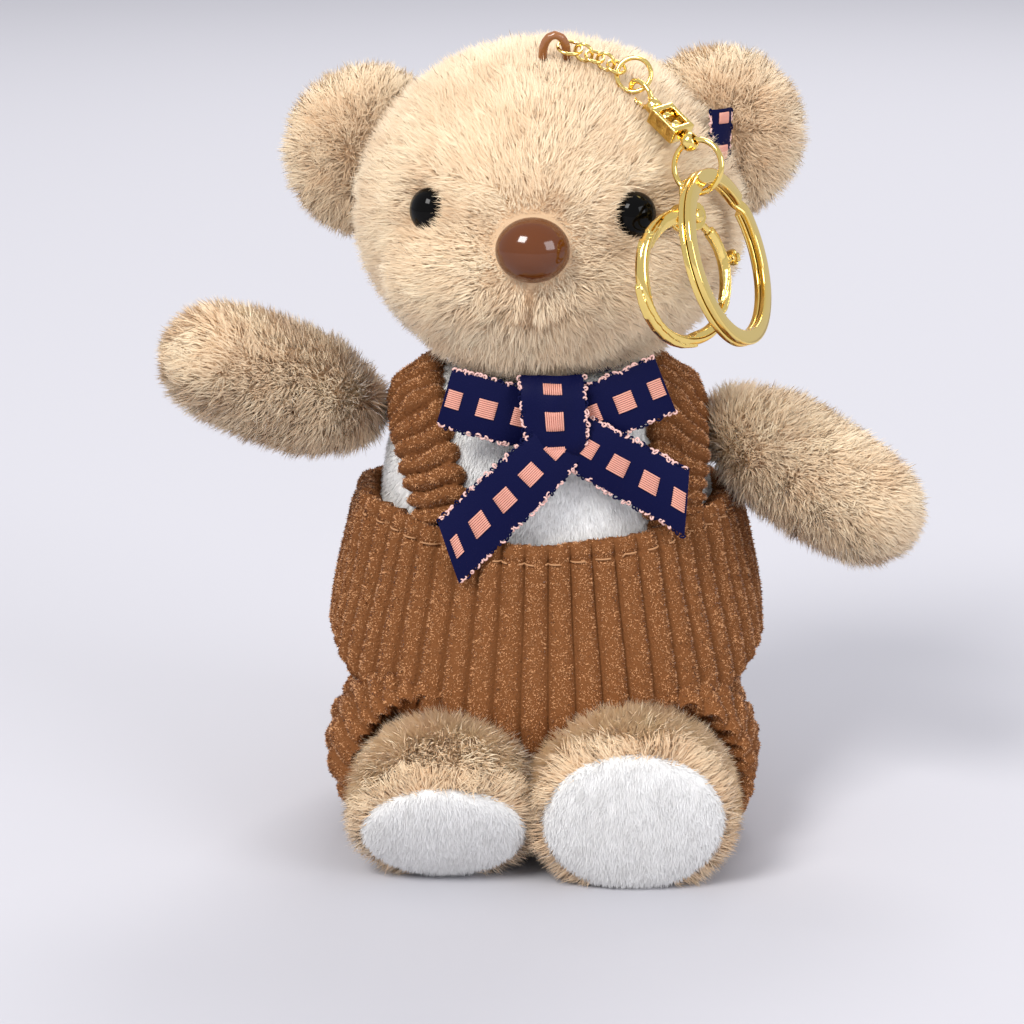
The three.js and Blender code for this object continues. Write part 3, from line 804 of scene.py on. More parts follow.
WALE_PILE = Pile(
    CORDUROY_TONES,
    density=12 * PER_MM2,
    length=0.62 * MM,
    width=0.37 * MM,
    lean=0.5,
    scatter=0.6,
    clump=0.8 * MM,
    pull=0.5,
    bent=False,
    seed=17,
)


def dress(
    obj: bpy.types.Object,
    slot: Slot,
    replaced: Sequence[str] = (),
    body: str = Body.BEAR.value,
) -> None:
    """Logs a piece's material slot, makes it ride on its body and hides the CAD nodes it stands for.

    Args:
        obj: the piece.
        slot: the record's material slot.
        replaced: the CAD nodes it stands for.
        body: the CAD body that it rides on.
    """
    LOG.info("%s, %s", obj.name, slot.value)
    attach(obj, body)
    if replaced:
        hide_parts(*replaced)


def dress_pile(pieces: Sequence[bpy.types.Object], slot: Slot, body: str = Body.BEAR.value) -> None:
    """Makes pieces of pile ride with their body.

    Args:
        pieces: the pieces.
        slot: the record's material slot.
        body: the CAD body.
    """
    for piece in pieces:
        dress(piece, slot, body=body)


# ---- head ---------------------------------------------------------------------------------------


@dataclass
class Head:
    """The stuffed head with its muzzle, eyes, nose and ears.

    Args:
        depth_share: the skull's depth as a share of its width.
        muzzle: half sizes of the muzzle, in metres.
        flatten: how much lower the skull is than its CAD solid, in metres, half of it at each end.
        radii: the skull's half sizes, found when it is built.
        centre: the skull's middle, found likewise.
        nose: the nose's middle.
        eyes: each eye's middle.
    """

    depth_share: float = 0.887
    muzzle: tuple[float, float, float] = (22 * MM, 13 * MM, 11 * MM)
    flatten: float = 0.6 * MM
    radii: Array = field(init=False)
    centre: Array = field(init=False)
    nose: Array = field(init=False)
    eyes: dict[str, Array] = field(init=False)

    def build(self) -> None:
        """Builds every piece of the head."""
        low, high = box_of("head_cover")
        wide = (high[0] - low[0]) / 2
        self.radii = np.array([wide, wide * self.depth_share, (high[2] - low[2]) / 2 - self.flatten])
        self.centre = np.array([(low[0] + high[0]) / 2, high[1] - self.radii[1], low[2] + self.radii[2]])
        self.nose = centre_of("nose")
        self.eyes = {side: centre_of("eye_" + side) for side, _ in SIDES}
        self._cover()
        self._features()
        for side, _ in SIDES:
            self._ear(side)

    def _cover(self) -> None:
        """The head's skin and fur."""
        skull = ball("skull", self.centre, self.radii, FUR_BACKING)
        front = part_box("head_cover")[0][1]
        middle = np.array([self.nose[0] - 0.5 * MM, front + self.muzzle[1], self.nose[2] - 6.5 * MM])
        muzzle = ball("muzzle", middle, self.muzzle, FUR_BACKING)
        chin = ball("chin", middle + [0, 1 * MM, -6.5 * MM], (17 * MM, 10 * MM, 8 * MM), FUR_BACKING)
        cover = merge([skull, muzzle, chin], "head_skin")
        remesh(cover, 1.3 * MM, 14)
        cover.data.materials.clear()
        cover.data.materials.append(FUR_BACKING.material())
        smooth_shaded(cover)
        dress(cover, Slot.TAN_FUR, ["head_cover"])
        pieces = HEAD_FUR.grow_on(cover, "head_fur", self._nap, self._share, self._shade)
        dress_pile(pieces, Slot.TAN_FUR)

    def _nap(self, spots: Array, normals: Array) -> Array:
        """Brushed away from the nose, and down at the back and sides.

        Args:
            spots: the strands' roots.
            normals: the skin's normals there.

        Returns:
            The way of the nap.
        """
        away = unit(spots - self.nose)
        back = np.clip((spots[:, 1:2] - self.centre[1]) / self.radii[1] + 0.3, 0, 1)
        return away * (1 - 0.6 * back) + DOWN * back + 0.55 * swirl(spots, 110)

    def _share(self, spots: Array, normals: Array) -> Array:
        """Bare under the eyes and nose, short round the nose and along the mouth.

        Args:
            spots: the strands' roots.
            normals: the skin's normals there.

        Returns:
            Each strand's share of the full length.
        """
        share = np.ones(len(spots))
        for eye in self.eyes.values():
            gap = np.linalg.norm(spots - eye, axis=1)
            share *= np.clip((gap - 3.0 * MM) / (2.2 * MM), 0, 1)
        across = np.hypot((spots[:, 0] - self.nose[0]) / 6.3, (spots[:, 2] - self.nose[2]) / 5.5) / MM
        in_front = spots[:, 1] < self.centre[1] - self.radii[1] * 0.6
        share = np.where(in_front, share * np.clip((across - 0.85) / 0.75, 0, 1), share)
        crease = self._mouth(spots)
        share *= 1 - 0.7 * crease
        hidden = (spots[:, 2] < self.centre[2] - self.radii[2] * 0.86) & (np.abs(spots[:, 1]) < 11 * MM)
        return np.where(hidden, 0, share)

    def _mouth(self, spots: Array) -> Array:
        """How near each place is to the seam under the nose or to the smile.

        Args:
            spots: places on the skin.

        Returns:
            1 on the seam, falling to 0 about 1.5 mm away.
        """
        x = (spots[:, 0] - self.nose[0]) / MM
        z = (spots[:, 2] - self.nose[2]) / MM
        seam = np.where((z < -4) & (z > -12.5), np.abs(x + 0.4), 9)
        smile_z = -11.2 + 0.10 * x**2
        smile = np.where(np.abs(x) < 5.5, np.abs(z - smile_z), 9)
        front = spots[:, 1] < self.centre[1]
        return np.where(front, np.exp(-((np.minimum(seam, smile) / 0.9) ** 2)), 0)

    def _shade(self, spots: Array) -> Array:
        """Painted shade in the mouth's crease and round the eyes, and deeper tones in soft patches.

        Args:
            spots: the strands' roots.

        Returns:
            How many tones darker.
        """
        eyes = sum(np.exp(-((np.linalg.norm(spots - e, axis=1) / (5 * MM)) ** 2)) for e in self.eyes.values())
        return 1.5 * patches(spots, 170) + 4.0 * self._mouth(spots) + 0.8 * eyes

    def _features(self) -> None:
        """The two glossy eyes and the nose."""
        for side, _ in SIDES:
            node = "eye_" + side
            out = unit(self.eyes[side] - self.centre)
            turn = Vector(out).to_track_quat("Z", "Y").to_matrix().to_4x4()
            middle = self.eyes[side] + out * 1.1 * MM
            eye = ball(f"{side}_eye", middle, (3.6 * MM, 3.7 * MM, 3.0 * MM), BLACK_EYE, turn)
            dress(eye, Slot.BLACK_EYE, [node])
        low, high = box_of("nose")
        front = low[1]
        half = (high[0] - low[0]) / 2
        middle = [self.nose[0], front + 4.6 * MM, self.nose[2]]
        nose = ball("bear_nose", middle, (half * 1.03, 5.2 * MM, half * 0.9), AMBER_NOSE)
        dress(nose, Slot.AMBER_NOSE, ["nose"])

    def _ear(self, side: str) -> None:
        """One ear.

        Args:
            side: which one.
        """
        skin = soft_copy("ear_stuffing_" + side, f"{side}_ear", FUR_BACKING, 1.9 * MM, 1.2 * MM, 8)
        dress(skin, Slot.TAN_FUR, ["ear_cover_" + side])
        middle = centre_of("ear_cover_" + side)

        def nap(spots: Array, normals: Array) -> Array:
            """Brushed from the ear's middle to its rim."""
            return unit(spots - middle) + 0.5 * swirl(spots, 160)

        def shade(spots: Array) -> Array:
            """Painted shade in the cup of the ear, pale at its rim."""
            reach = np.hypot(spots[:, 0] - middle[0], spots[:, 2] - middle[2]) / (12.8 * MM)
            front = np.clip((middle[1] - spots[:, 1]) / (4 * MM), 0, 1)
            return 2.6 * np.clip(1 - reach**2, 0, 1) * front - 0.5

        dress_pile(EAR_FUR.grow_on(skin, f"{side}_ear_fur", nap, None, shade), Slot.TAN_FUR)


# ---- body, arms and legs --------------------------------------------------------------------------


@dataclass
class Limbs:
    """The arms, the legs with their soles, and the torso's white plush."""

    def build(self) -> None:
        """Builds every piece."""
        self._torso()
        for side, sign in SIDES:
            self._arm(side, sign)
            self._foot(side)

    def _torso(self) -> None:
        """The white chest and back above the trousers."""
        skin = soft_copy("torso_stuffing", "torso_skin", WHITE_BACKING, 1.6 * MM, 1.6 * MM, 8)
        dress(skin, Slot.WHITE_PLUSH, ["torso_cover"])
        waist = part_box("trousers_body")[1][2]
        form = Skin.of(skin)
        sunk = np.clip((waist - 4 * MM - form.points[:, 2]) / (5 * MM), 0, 1)
        form.put(skin, form.points - form.vertex_normals * (3.5 * MM * sunk)[:, None])

        def nap(spots: Array, normals: Array) -> Array:
            """Brushed down and out."""
            return DOWN + 0.4 * swirl(spots, 90)

        def share(spots: Array, normals: Array) -> Array:
            """Only above the waist."""
            return (spots[:, 2] > waist - 5 * MM).astype(float)

        pieces = WHITE_PILE.grow_on(skin, "torso_pile", nap, share)
        dress_pile(pieces, Slot.WHITE_PLUSH)

    def _arm(self, side: str, sign: int) -> None:
        """One arm, on its own body.

        Args:
            side: which one.
            sign: -1 for the bear's right, 1 for its left.
        """
        body = Body("arm_" + side).value
        skin = soft_copy("arm_stuffing_" + side, f"{side}_arm", FUR_BACKING, 1.9 * MM, 1.2 * MM, 6)
        dress(skin, Slot.TAN_FUR, ["arm_cover_" + side], body=body)
        low, high = box_of("arm_cover_" + side)
        if sign < 0:
            shoulder = np.array([high[0], high[1] - 8 * MM, low[2] + 9 * MM])
        else:
            shoulder = np.array([low[0], high[1] - 8 * MM, high[2] - 9 * MM])

        def nap(spots: Array, normals: Array) -> Array:
            """Brushed from the shoulder to the paw."""
            return unit(spots - shoulder) + 0.45 * swirl(spots, 130)

        def shade(spots: Array) -> Array:
            """Soft patches."""
            return 1.3 * patches(spots, 150)

        dress_pile(ARM_FUR.grow_on(skin, f"{side}_arm_fur", nap, None, shade), Slot.TAN_FUR, body)

    def _foot(self, side: str) -> None:
        """One leg with its foot and sole.

        Args:
            side: which one.
        """
        skin = soft_copy("leg_stuffing_" + side, f"{side}_leg", FUR_BACKING, 2.2 * MM, 1.2 * MM, 5)
        skin_points = Skin.of(skin)
        skin_points.points[:, 2] = np.maximum(skin_points.points[:, 2], 0.3 * MM)
        skin_points.put(skin, skin_points.points)
        dress(skin, Slot.TAN_FUR, ["leg_cover_" + side])
        sole_points = points_of("sole_" + side)
        middle = sole_points.mean(axis=0)
        out = np.linalg.svd(sole_points - middle)[2][2]
        out *= -np.sign(out[1])
        half = np.abs((sole_points - middle) @ np.array([1, 0, 0])).max()
        up = np.cross(out, [1, 0, 0])
        tall = np.abs((sole_points - middle) @ up).max()

        def ratio(spots: Array) -> Array:
            """How far out from the sole's middle, 1 at its edge."""
            from_middle = spots - middle
            return np.hypot(from_middle[:, 0] / half, (from_middle @ up) / tall)

        def nap(spots: Array, normals: Array) -> Array:
            """Brushed towards the sole, with a ruff that turns out round it."""
            ahead = np.clip(1 + (spots - middle) @ out / (9 * MM), 0, 1)[:, None]
            return out * (1 - ahead) + unit(spots - middle) * ahead + 0.5 * swirl(spots, 140)

        def share(spots: Array, normals: Array) -> Array:
            """Only on the foot, bare where the sole is sewn on."""
            depth = (spots - middle) @ out
            bare = (ratio(spots) < 1.0) & (depth > -3 * MM)
            hidden = depth < -22 * MM
            short = np.where(spots[:, 2] < 2 * MM, 0.35, 1.0)
            return np.where(bare | hidden, 0, short)

        def shade(spots: Array) -> Array:
            """Painted shade just behind the sole's edge, and soft patches."""
            depth = (spots - middle) @ out / MM
            return 1.5 * np.exp(-(((depth + 1.5) / 2.5) ** 2)) + patches(spots, 150)

        dress_pile(FOOT_FUR.grow_on(skin, f"{side}_foot_fur", nap, share, shade), Slot.TAN_FUR)
        turn = Matrix((Vector((1, 0, 0)), Vector(up), Vector(out))).transposed().to_4x4()
        pad_radii = (half * 1.1, tall * 1.1, 3.1 * MM)
        pad = ball(f"{side}_sole", middle - out * 1.2 * MM, pad_radii, WHITE_BACKING, turn)
        dress(pad, Slot.WHITE_PLUSH, ["sole_" + side])

        def sole_nap(spots: Array, normals: Array) -> Array:
            """Brushed from the sole's top to its toe end."""
            return -up + 0.5 * swirl(spots, 200)

        def sole_share(spots: Array, normals: Array) -> Array:
            """On the front only."""
            return (normals @ out > -0.05).astype(float)

        dress_pile(SOLE_PILE.grow_on(pad, f"{side}_sole_pile", sole_nap, sole_share), Slot.WHITE_PLUSH)


def outer_line(heights: Array, reach: Array, top: float) -> tuple[Array, Array]:
    """The convex outline of points seen from the side, rounded between its corners.

    Args:
        heights: the points' heights.
        reach: their distances from the middle line.
        top: the highest height to take.

    Returns:
        Heights, lowest first, and the outline's reach at each.
    """
    rows = sorted((round(z, 5), r) for z, r in zip(heights, reach) if z < top)
    hull: list[tuple[float, float]] = []
    for z, r in rows:
        while len(hull) > 1:
            (z0, r0), (z1, r1) = hull[-2:]
            if (z1 - z0) * (r - r0) < (z - z0) * (r1 - r0):
                break
            hull.pop()
        hull.append((z, r))
    fine = np.linspace(hull[0][0], hull[-1][0], 160)
    line = np.interp(fine, [z for z, _ in hull], [r for _, r in hull])
    window = np.hanning(25)
    padded = np.pad(line, 12, mode="edge")
    return fine, np.convolve(padded, window / window.sum(), mode="valid")


# ---- dungarees --------------------------------------------------------------------------------------


@dataclass
class Dungarees:
    """Wide-wale corduroy trousers with two straps.

    Args:
        wales: how many ridges go round the body.
        ridge: a ridge's height, in metres.
        pitch: from one ridge to the next on the legs, in metres.
        strap_pitch: the same on the straps.
        hem: depth of the turned waist, in metres.
        cloth: how far the trousers' body stands off the torso, in metres.
        deep: the body's depth as a share of its width, found when it is built.
        angle_run: angles round the body, and how far round its outline each is, from 0 to 1.
        waist_rows: how many rows of the cloth are turned in at the waist.
    """

    wales: int = 50
    ridge: float = 1.9 * MM
    pitch: float = 4.0 * MM
    strap_pitch: float = 3.9 * MM
    hem: float = 2.4 * MM
    cloth: float = 2.1 * MM
    deep: float = field(init=False)
    angle_run: tuple[Array, Array] = field(init=False)
    waist_rows: int = field(init=False)

    def build(self) -> None:
        """Builds every piece."""
        self._body()
        for side, sign in SIDES:
            self._leg(side, sign)
            self._strap(side)

    def _body(self) -> None:
        """The trousers' body, from the turned waist to the seat."""
        low, high = box_of("trousers_body")
        middle = (low + high) / 2
        self.deep = (high[1] - low[1]) / (high[0] - low[0])
        torso = points_of("torso_cover")
        reach = np.hypot(torso[:, 0] - middle[0], (torso[:, 1] - middle[1]) / self.deep)
        rings, widths = outer_line(torso[:, 2], reach, high[2] + 12 * MM)
        widths = widths + self.cloth
        columns, rows = self.wales * 10, 126
        around = self._even_angles(columns)
        front = np.clip(-np.sin(around), 0, 1)
        side = np.abs(np.cos(around))
        waist = high[2] + 1.0 * MM + 1.5 * MM * side - 3.0 * MM * front**2
        grid = np.empty((rows, columns, 3))
        ridges = self._body_ridge(around)
        for i, down in enumerate(np.linspace(0, 1, rows)):
            height = waist + (0.4 * MM - waist) * down
            half = np.interp(height, rings, widths)
            rounding = 3.5 * MM * (1 - height / (6 * MM)) ** 2
            half = np.where(height < 6 * MM, np.minimum(half, half - rounding), half)
            belly = 3.6 * MM * front**1.5 * np.exp(-(((height - 27 * MM) / (11 * MM)) ** 2))
            edge = (20.5 + 12.5 * side**1.6) * MM
            over_legs = np.clip(1 - 2 * np.sin(around), 0, 1)
            tuck = 9 * MM * np.clip((edge - height) / (6 * MM), 0, 1) ** 1.3 * over_legs
            gather = 0.55 * MM * np.sin(around * 11 + 1.3) * np.exp(-down * 5)
            slack = 0.9 * MM * np.array(
                [noise.noise(Vector((math.cos(a) * 2.2, math.sin(a) * 2.2, down * 2.4))) for a in around]
            )
            in_hem = np.exp(-(((waist - height - self.hem) / (0.5 * MM)) ** 2))
            relief = self.ridge * ridges * (1 - 0.35 * np.exp(-down * 26)) - 0.45 * MM * in_hem
            out = half + belly - tuck + gather + slack + relief
            grid[i, :, 0] = middle[0] + out * np.cos(around)
            grid[i, :, 1] = middle[1] + self.deep * out * np.sin(around)
            grid[i, :, 2] = height - 1.5 * MM * front * np.exp(-(((height - 24 * MM) / (9 * MM)) ** 2))
        turned_in = self._turned_in(grid[0], middle)
        self.waist_rows = len(turned_in)
        grid = np.concatenate([turned_in, grid])
        self._body_cloth(grid, middle)
        self._stitches(grid, waist)

    def _turned_in(self, edge: Array, middle: Array) -> Array:
        """The rows of cloth that are turned in at the waist.

        Args:
            edge: the waist's outer row.
            middle: the middle of its outline.

        Returns:
            The rows, innermost first.
        """
        flat = edge[:, :2] - middle[:2]
        size = np.linalg.norm(flat, axis=1, keepdims=True)
        rows = []
        for drop, inset in ((5, 2.6), (1.5, 2.4), (-0.1, 1.7), (-0.35, 0.7)):
            ring = edge.copy()
            ring[:, :2] = middle[:2] + flat * (size - inset * MM) / size
            ring[:, 2] -= drop * MM
            rows.append(ring)
        return np.array(rows)

    def _even_angles(self, count: int) -> Array:
        """Angles round the body, an even distance apart on its oval outline.

        Args:
            count: how many.

        Returns:
            The angles.
        """
        fine = np.linspace(0, FULL_TURN, 4001)
        step = np.hypot(np.diff(np.cos(fine)), self.deep * np.diff(np.sin(fine)))
        run = np.concatenate([[0], np.cumsum(step)])
        even = np.interp(np.linspace(0, run[-1], count, endpoint=False), run, fine)
        self.angle_run = (fine, run / run[-1])
        return even

    def _body_ridge(self, angle: Array) -> Array:
        """How high the corduroy stands at an angle round the body.

        Args:
            angle: angles from 0 to a full turn.

        Returns:
            1 on a wale's crest and 0 in a groove.
        """
        return np.abs(np.cos(np.interp(angle, *self.angle_run) * self.wales * math.pi)) ** 0.5

    def _corduroy(self, grid: Array, name: str) -> bpy.types.Object:
        """Turns a grid of rows into a piece of cloth, closed at its last row.

        Args:
            grid: rows of points, each row a closed ring.
            name: the piece's name.

        Returns:
            The object.
        """
        rows, columns = grid.shape[:2]
        faces = grid_faces(rows, columns, False, True)[:, [0, 3, 2, 1]]
        points = grid.reshape(-1, 3)
        last = np.arange(columns) + (rows - 1) * columns
        base = points[last].mean(axis=0)
        points = np.concatenate([points, [base]])
        obj = make_mesh(name, points, faces, [CORDUROY_CLOTH])
        fan = np.stack([last, np.full(columns, len(points) - 1), np.roll(last, -1)], axis=1)
        seat = make_mesh(name + "_seat", points, fan, [CORDUROY_CLOTH])
        obj = merge([obj, seat], name)
        face_out(obj, WELD)
        smooth_shaded(obj)
        return obj

    def _body_cloth(self, grid: Array, middle: Array) -> None:
        """The body's cloth and its nap.

        Args:
            grid: its rows of points.
            middle: the middle of its outline.
        """
        obj = self._corduroy(grid, "trousers_body_cloth")
        dress(obj, Slot.CORDUROY, ["trousers_body"])

        def ridge(spots: Array) -> Array:
            """The wales run down the body."""
            angle = np.arctan2((spots[:, 1] - middle[1]) / self.deep, spots[:, 0] - middle[0])
            return self._body_ridge(angle % (FULL_TURN))

        self._nub(obj, "trousers_body_nap", ridge)

    def _nub(self, obj: bpy.types.Object, name: str, ridge: Callable[[Array], Array]) -> None:
        """Short nubby pile on corduroy.

        Args:
            obj: the cloth.
            name: the pile's name.
            ridge: from points, 1 on a wale's crest and 0 in a groove.
        """

        def nap(spots: Array, normals: Array) -> Array:
            """Tufts turn every way."""
            return swirl(spots, 700)

        def shade(spots: Array) -> Array:
            """Painted shade deep in the grooves, with small dark and pale specks."""
            return 3.2 * patches(spots, 1100) + 6.5 * np.clip(0.78 - ridge(spots), 0, 1) - 1.3

        def share(spots: Array, normals: Array) -> Array:
            """Bare at the foot of the grooves."""
            return np.clip(ridge(spots) * 2 - 0.5, 0, 1)

        dress_pile(WALE_PILE.grow_on(obj, name, nap, share, shade), Slot.CORDUROY)

    def _stitches(self, grid: Array, waist: Array) -> None:
        """The row of stitches under the turned waist.

        Args:
            grid: the trousers' rows of points.
            waist: the waist's height at each column.
        """
        below = np.abs(grid[self.waist_rows :, :, 2] - (waist - self.hem)).argmin(axis=0) + self.waist_rows
        columns = np.arange(grid.shape[1])
        line = grid[below, columns]
        centre = line.mean(axis=0)
        out = unit((line - centre) * [1, 1, 0])
        line = line + out * 0.55 * MM
        stride = 7
        gap = 4
        starts = range(0, len(columns) - stride, stride + gap)
        pieces = [line[start : start + stride] for start in starts]
        tubes(pieces, 0.16 * MM, "waist_stitches", STITCH_THREAD, Slot.CORDUROY)

    def _leg(self, side: str, sign: int) -> None:
        """One short trouser leg.

        Args:
            side: which one.
            sign: -1 for the bear's right, 1 for its left.
        """
        node = "trouser_leg_" + side
        low, high = box_of(node)
        middle = (low + high) / 2
        middle[2] += 1.6 * MM
        wide, tall = (high[0] - low[0]) / 2 - 0.4 * MM, (high[2] - low[2]) / 2 + 2.2 * MM
        count = round(math.pi * (wide + tall) / self.pitch)
        columns = count * 9
        around = np.linspace(0, FULL_TURN, columns, endpoint=False)
        stations = np.array([16, 8, 0, -6, -12, -18, -24, -27.5, -28.6, -27.5, -24, -20]) * MM
        sizes = np.array([0.5, 0.8, 0.95, 1.0, 1.03, 1.04, 0.99, 0.9, 0.8, 0.74, 0.72, 0.72])
        steps = np.linspace(0, len(stations) - 1, 104)
        places = np.interp(steps, np.arange(len(stations)), stations)
        shares = np.interp(steps, np.arange(len(stations)), sizes)

        def ridge(spots: Array) -> Array:
            """The wales run along the leg, a little twisted."""
            angle = np.arctan2((spots[:, 2] - middle[2]) / tall, (spots[:, 0] - middle[0]) / wide)
            twist = 0.25 * np.sin(spots[:, 1] / (6 * MM) + sign) + 0.12 * np.sin(angle * 3)
            return np.abs(np.cos((angle + twist) * count / 2)) ** 0.5

        grid = np.empty((len(steps), columns, 3))
        for i, (y, share) in enumerate(zip(places, shares)):
            x = middle[0] + wide * share * np.cos(around)
            z = middle[2] + tall * share * np.sin(around)
            ring = np.stack([x, np.full(columns, y), z], axis=1)
            out = unit(ring - [middle[0], y, middle[2]])
            folds = np.array([noise.noise(Vector((q[0] * 60, q[1] * 190, q[2] * 60 + sign))) for q in ring])
            ring = ring + out * (self.ridge * (ridge(ring) - 0.6) + 1.5 * MM * folds)[:, None]
            ring[:, 2] = np.maximum(ring[:, 2], 0.4 * MM)
            grid[i] = ring
        obj = self._corduroy(grid[:, ::-1], f"{side}_trouser_leg")
        dress(obj, Slot.CORDUROY, [node])
        self._nub(obj, f"{side}_trouser_leg_nap", ridge)

    def _strap(self, side: str) -> None:
        """One shoulder strap, with its wales across it.

        Args:
            side: which one.
        """
        node = "strap_" + side
        obj = soft_copy(node, f"{side}_strap", CORDUROY_CLOTH, 0.35 * MM, 0.5 * MM, 5)
        low, high = box_of(node)
        skin = Skin.of(obj)
        p = skin.points
        pivot = np.array([0, (low[1] + high[1]) / 2, high[2] - 26 * MM])

        def ridge(spots: Array) -> Array:
            """The wales cross the strap, a little crooked."""
            angle = np.arctan2(spots[:, 2] - pivot[2], spots[:, 1] - pivot[1])
            crooked = 0.5 * MM * np.sin(spots[:, 0] / MM * 0.7)
            return np.abs(np.cos((angle * 25 * MM + crooked) / self.strap_pitch * math.pi)) ** 0.5

        bumps = patches(p, 260)
        relief = self.ridge * 1.15 * (ridge(p) - 0.4) + 0.35 * MM * bumps
        skin.put(obj, p + skin.vertex_normals * relief[:, None])
        smooth_shaded(obj)
        dress(obj, Slot.CORDUROY, [node])
        self._nub(obj, f"{side}_strap_nap", ridge)


# ---- tubes and rings ------------------------------------------------------------------------------------


def tube_arrays(path: Array, radius: float, sides: int, closed: bool) -> tuple[Array, Array]:
    """A round tube along a path.

    Args:
        path: the points of its middle line.
        radius: its radius, in metres.
        sides: faces round it.
        closed: whether the path is a loop.

    Returns:
        Its vertices and its faces, four corners each.
    """
    count = len(path)
    ahead = np.roll(path, -1, axis=0) - np.roll(path, 1, axis=0)
    if not closed:
        ahead[0], ahead[-1] = path[1] - path[0], path[-1] - path[-2]
    ahead = unit(ahead)
    across = np.empty_like(path)
    first = np.cross(ahead[0], [0.31, 0.2, 0.93])
    across[0] = first / np.linalg.norm(first)
    for i in range(1, count):
        turned = across[i - 1] - ahead[i] * (across[i - 1] @ ahead[i])
        across[i] = turned / np.linalg.norm(turned)
    if closed:
        lost = math.atan2(np.cross(across[-1], across[0]) @ ahead[0], across[-1] @ across[0])
        share = np.linspace(0, 1, count)[:, None] * lost
        across = across * np.cos(share) + np.cross(ahead, across) * np.sin(share)
    other = np.cross(ahead, across)
    turn = np.linspace(0, FULL_TURN, sides, endpoint=False)
    round_it = across[:, None] * np.cos(turn)[:, None] + other[:, None] * np.sin(turn)[:, None]
    rings = path[:, None] + radius * round_it
    points = rings.reshape(-1, 3)
    faces = grid_faces(count, sides, closed, True)
    if not closed:
        tips = [path[0] - ahead[0] * radius * 0.6, path[-1] + ahead[-1] * radius * 0.6]
        points = np.concatenate([points, tips])
        start, end = len(points) - 2, len(points) - 1
        k = np.arange(sides)
        n = (k + 1) % sides
        last = (count - 1) * sides
        caps = [np.stack([n, k, np.full(sides, start), np.full(sides, start)], axis=1)]
        caps.append(np.stack([last + k, last + n, np.full(sides, end), np.full(sides, end)], axis=1))
        faces = np.concatenate([faces, *caps])
    return points, faces


def tubes(
    paths: Sequence[Array],
    radius: float,
    name: str,
    finish: Finish,
    slot: Slot,
    body: str = Body.BEAR.value,
    closed: bool = False,
    sides: int = 6,
) -> bpy.types.Object:
    """One piece made of round tubes.

    Args:
        paths: the middle line of each tube.
        radius: their radius, in metres.
        name: the piece's name.
        finish: its finish.
        slot: the record's material slot.
        body: the CAD body that it rides on.
        closed: whether each path is a loop.
        sides: faces round each tube.

    Returns:
        The object.
    """
    all_points, all_faces, first = [], [], 0
    for path in paths:
        points, faces = tube_arrays(np.asarray(path), radius, sides, closed)
        all_points.append(points)
        all_faces.append(faces + first)
        first += len(points)
    faces = np.concatenate(all_faces)
    obj = bpy.data.objects.new(name, bpy.data.meshes.new(name))
    bpy.context.scene.collection.objects.link(obj)
    rows = [tuple(dict.fromkeys(face)) for face in faces.tolist()]
    obj.data.from_pydata(np.concatenate(all_points).tolist(), [], rows)
    obj.data.materials.append(finish.material())
    smooth_shaded(obj)
    dress(obj, slot, body=body)
    return obj


def ring_fit(points: Array) -> tuple[Array, Array, float]:
    """The circle that points lie round.

    Args:
        points: points spread round a ring.

    Returns:
        The circle's middle, its axis and its radius.
    """
    mean = points.mean(axis=0)
    axes = np.linalg.svd(points - mean)[2]
    flat = (points - mean) @ axes[:2].T
    rows = np.column_stack([2 * flat, np.ones(len(flat))])
    found = np.linalg.lstsq(rows, (flat**2).sum(axis=1), rcond=None)[0]
    middle = mean + found[:2] @ axes[:2]
    return middle, axes[2], float(math.sqrt(found[2] + found[:2] @ found[:2]))


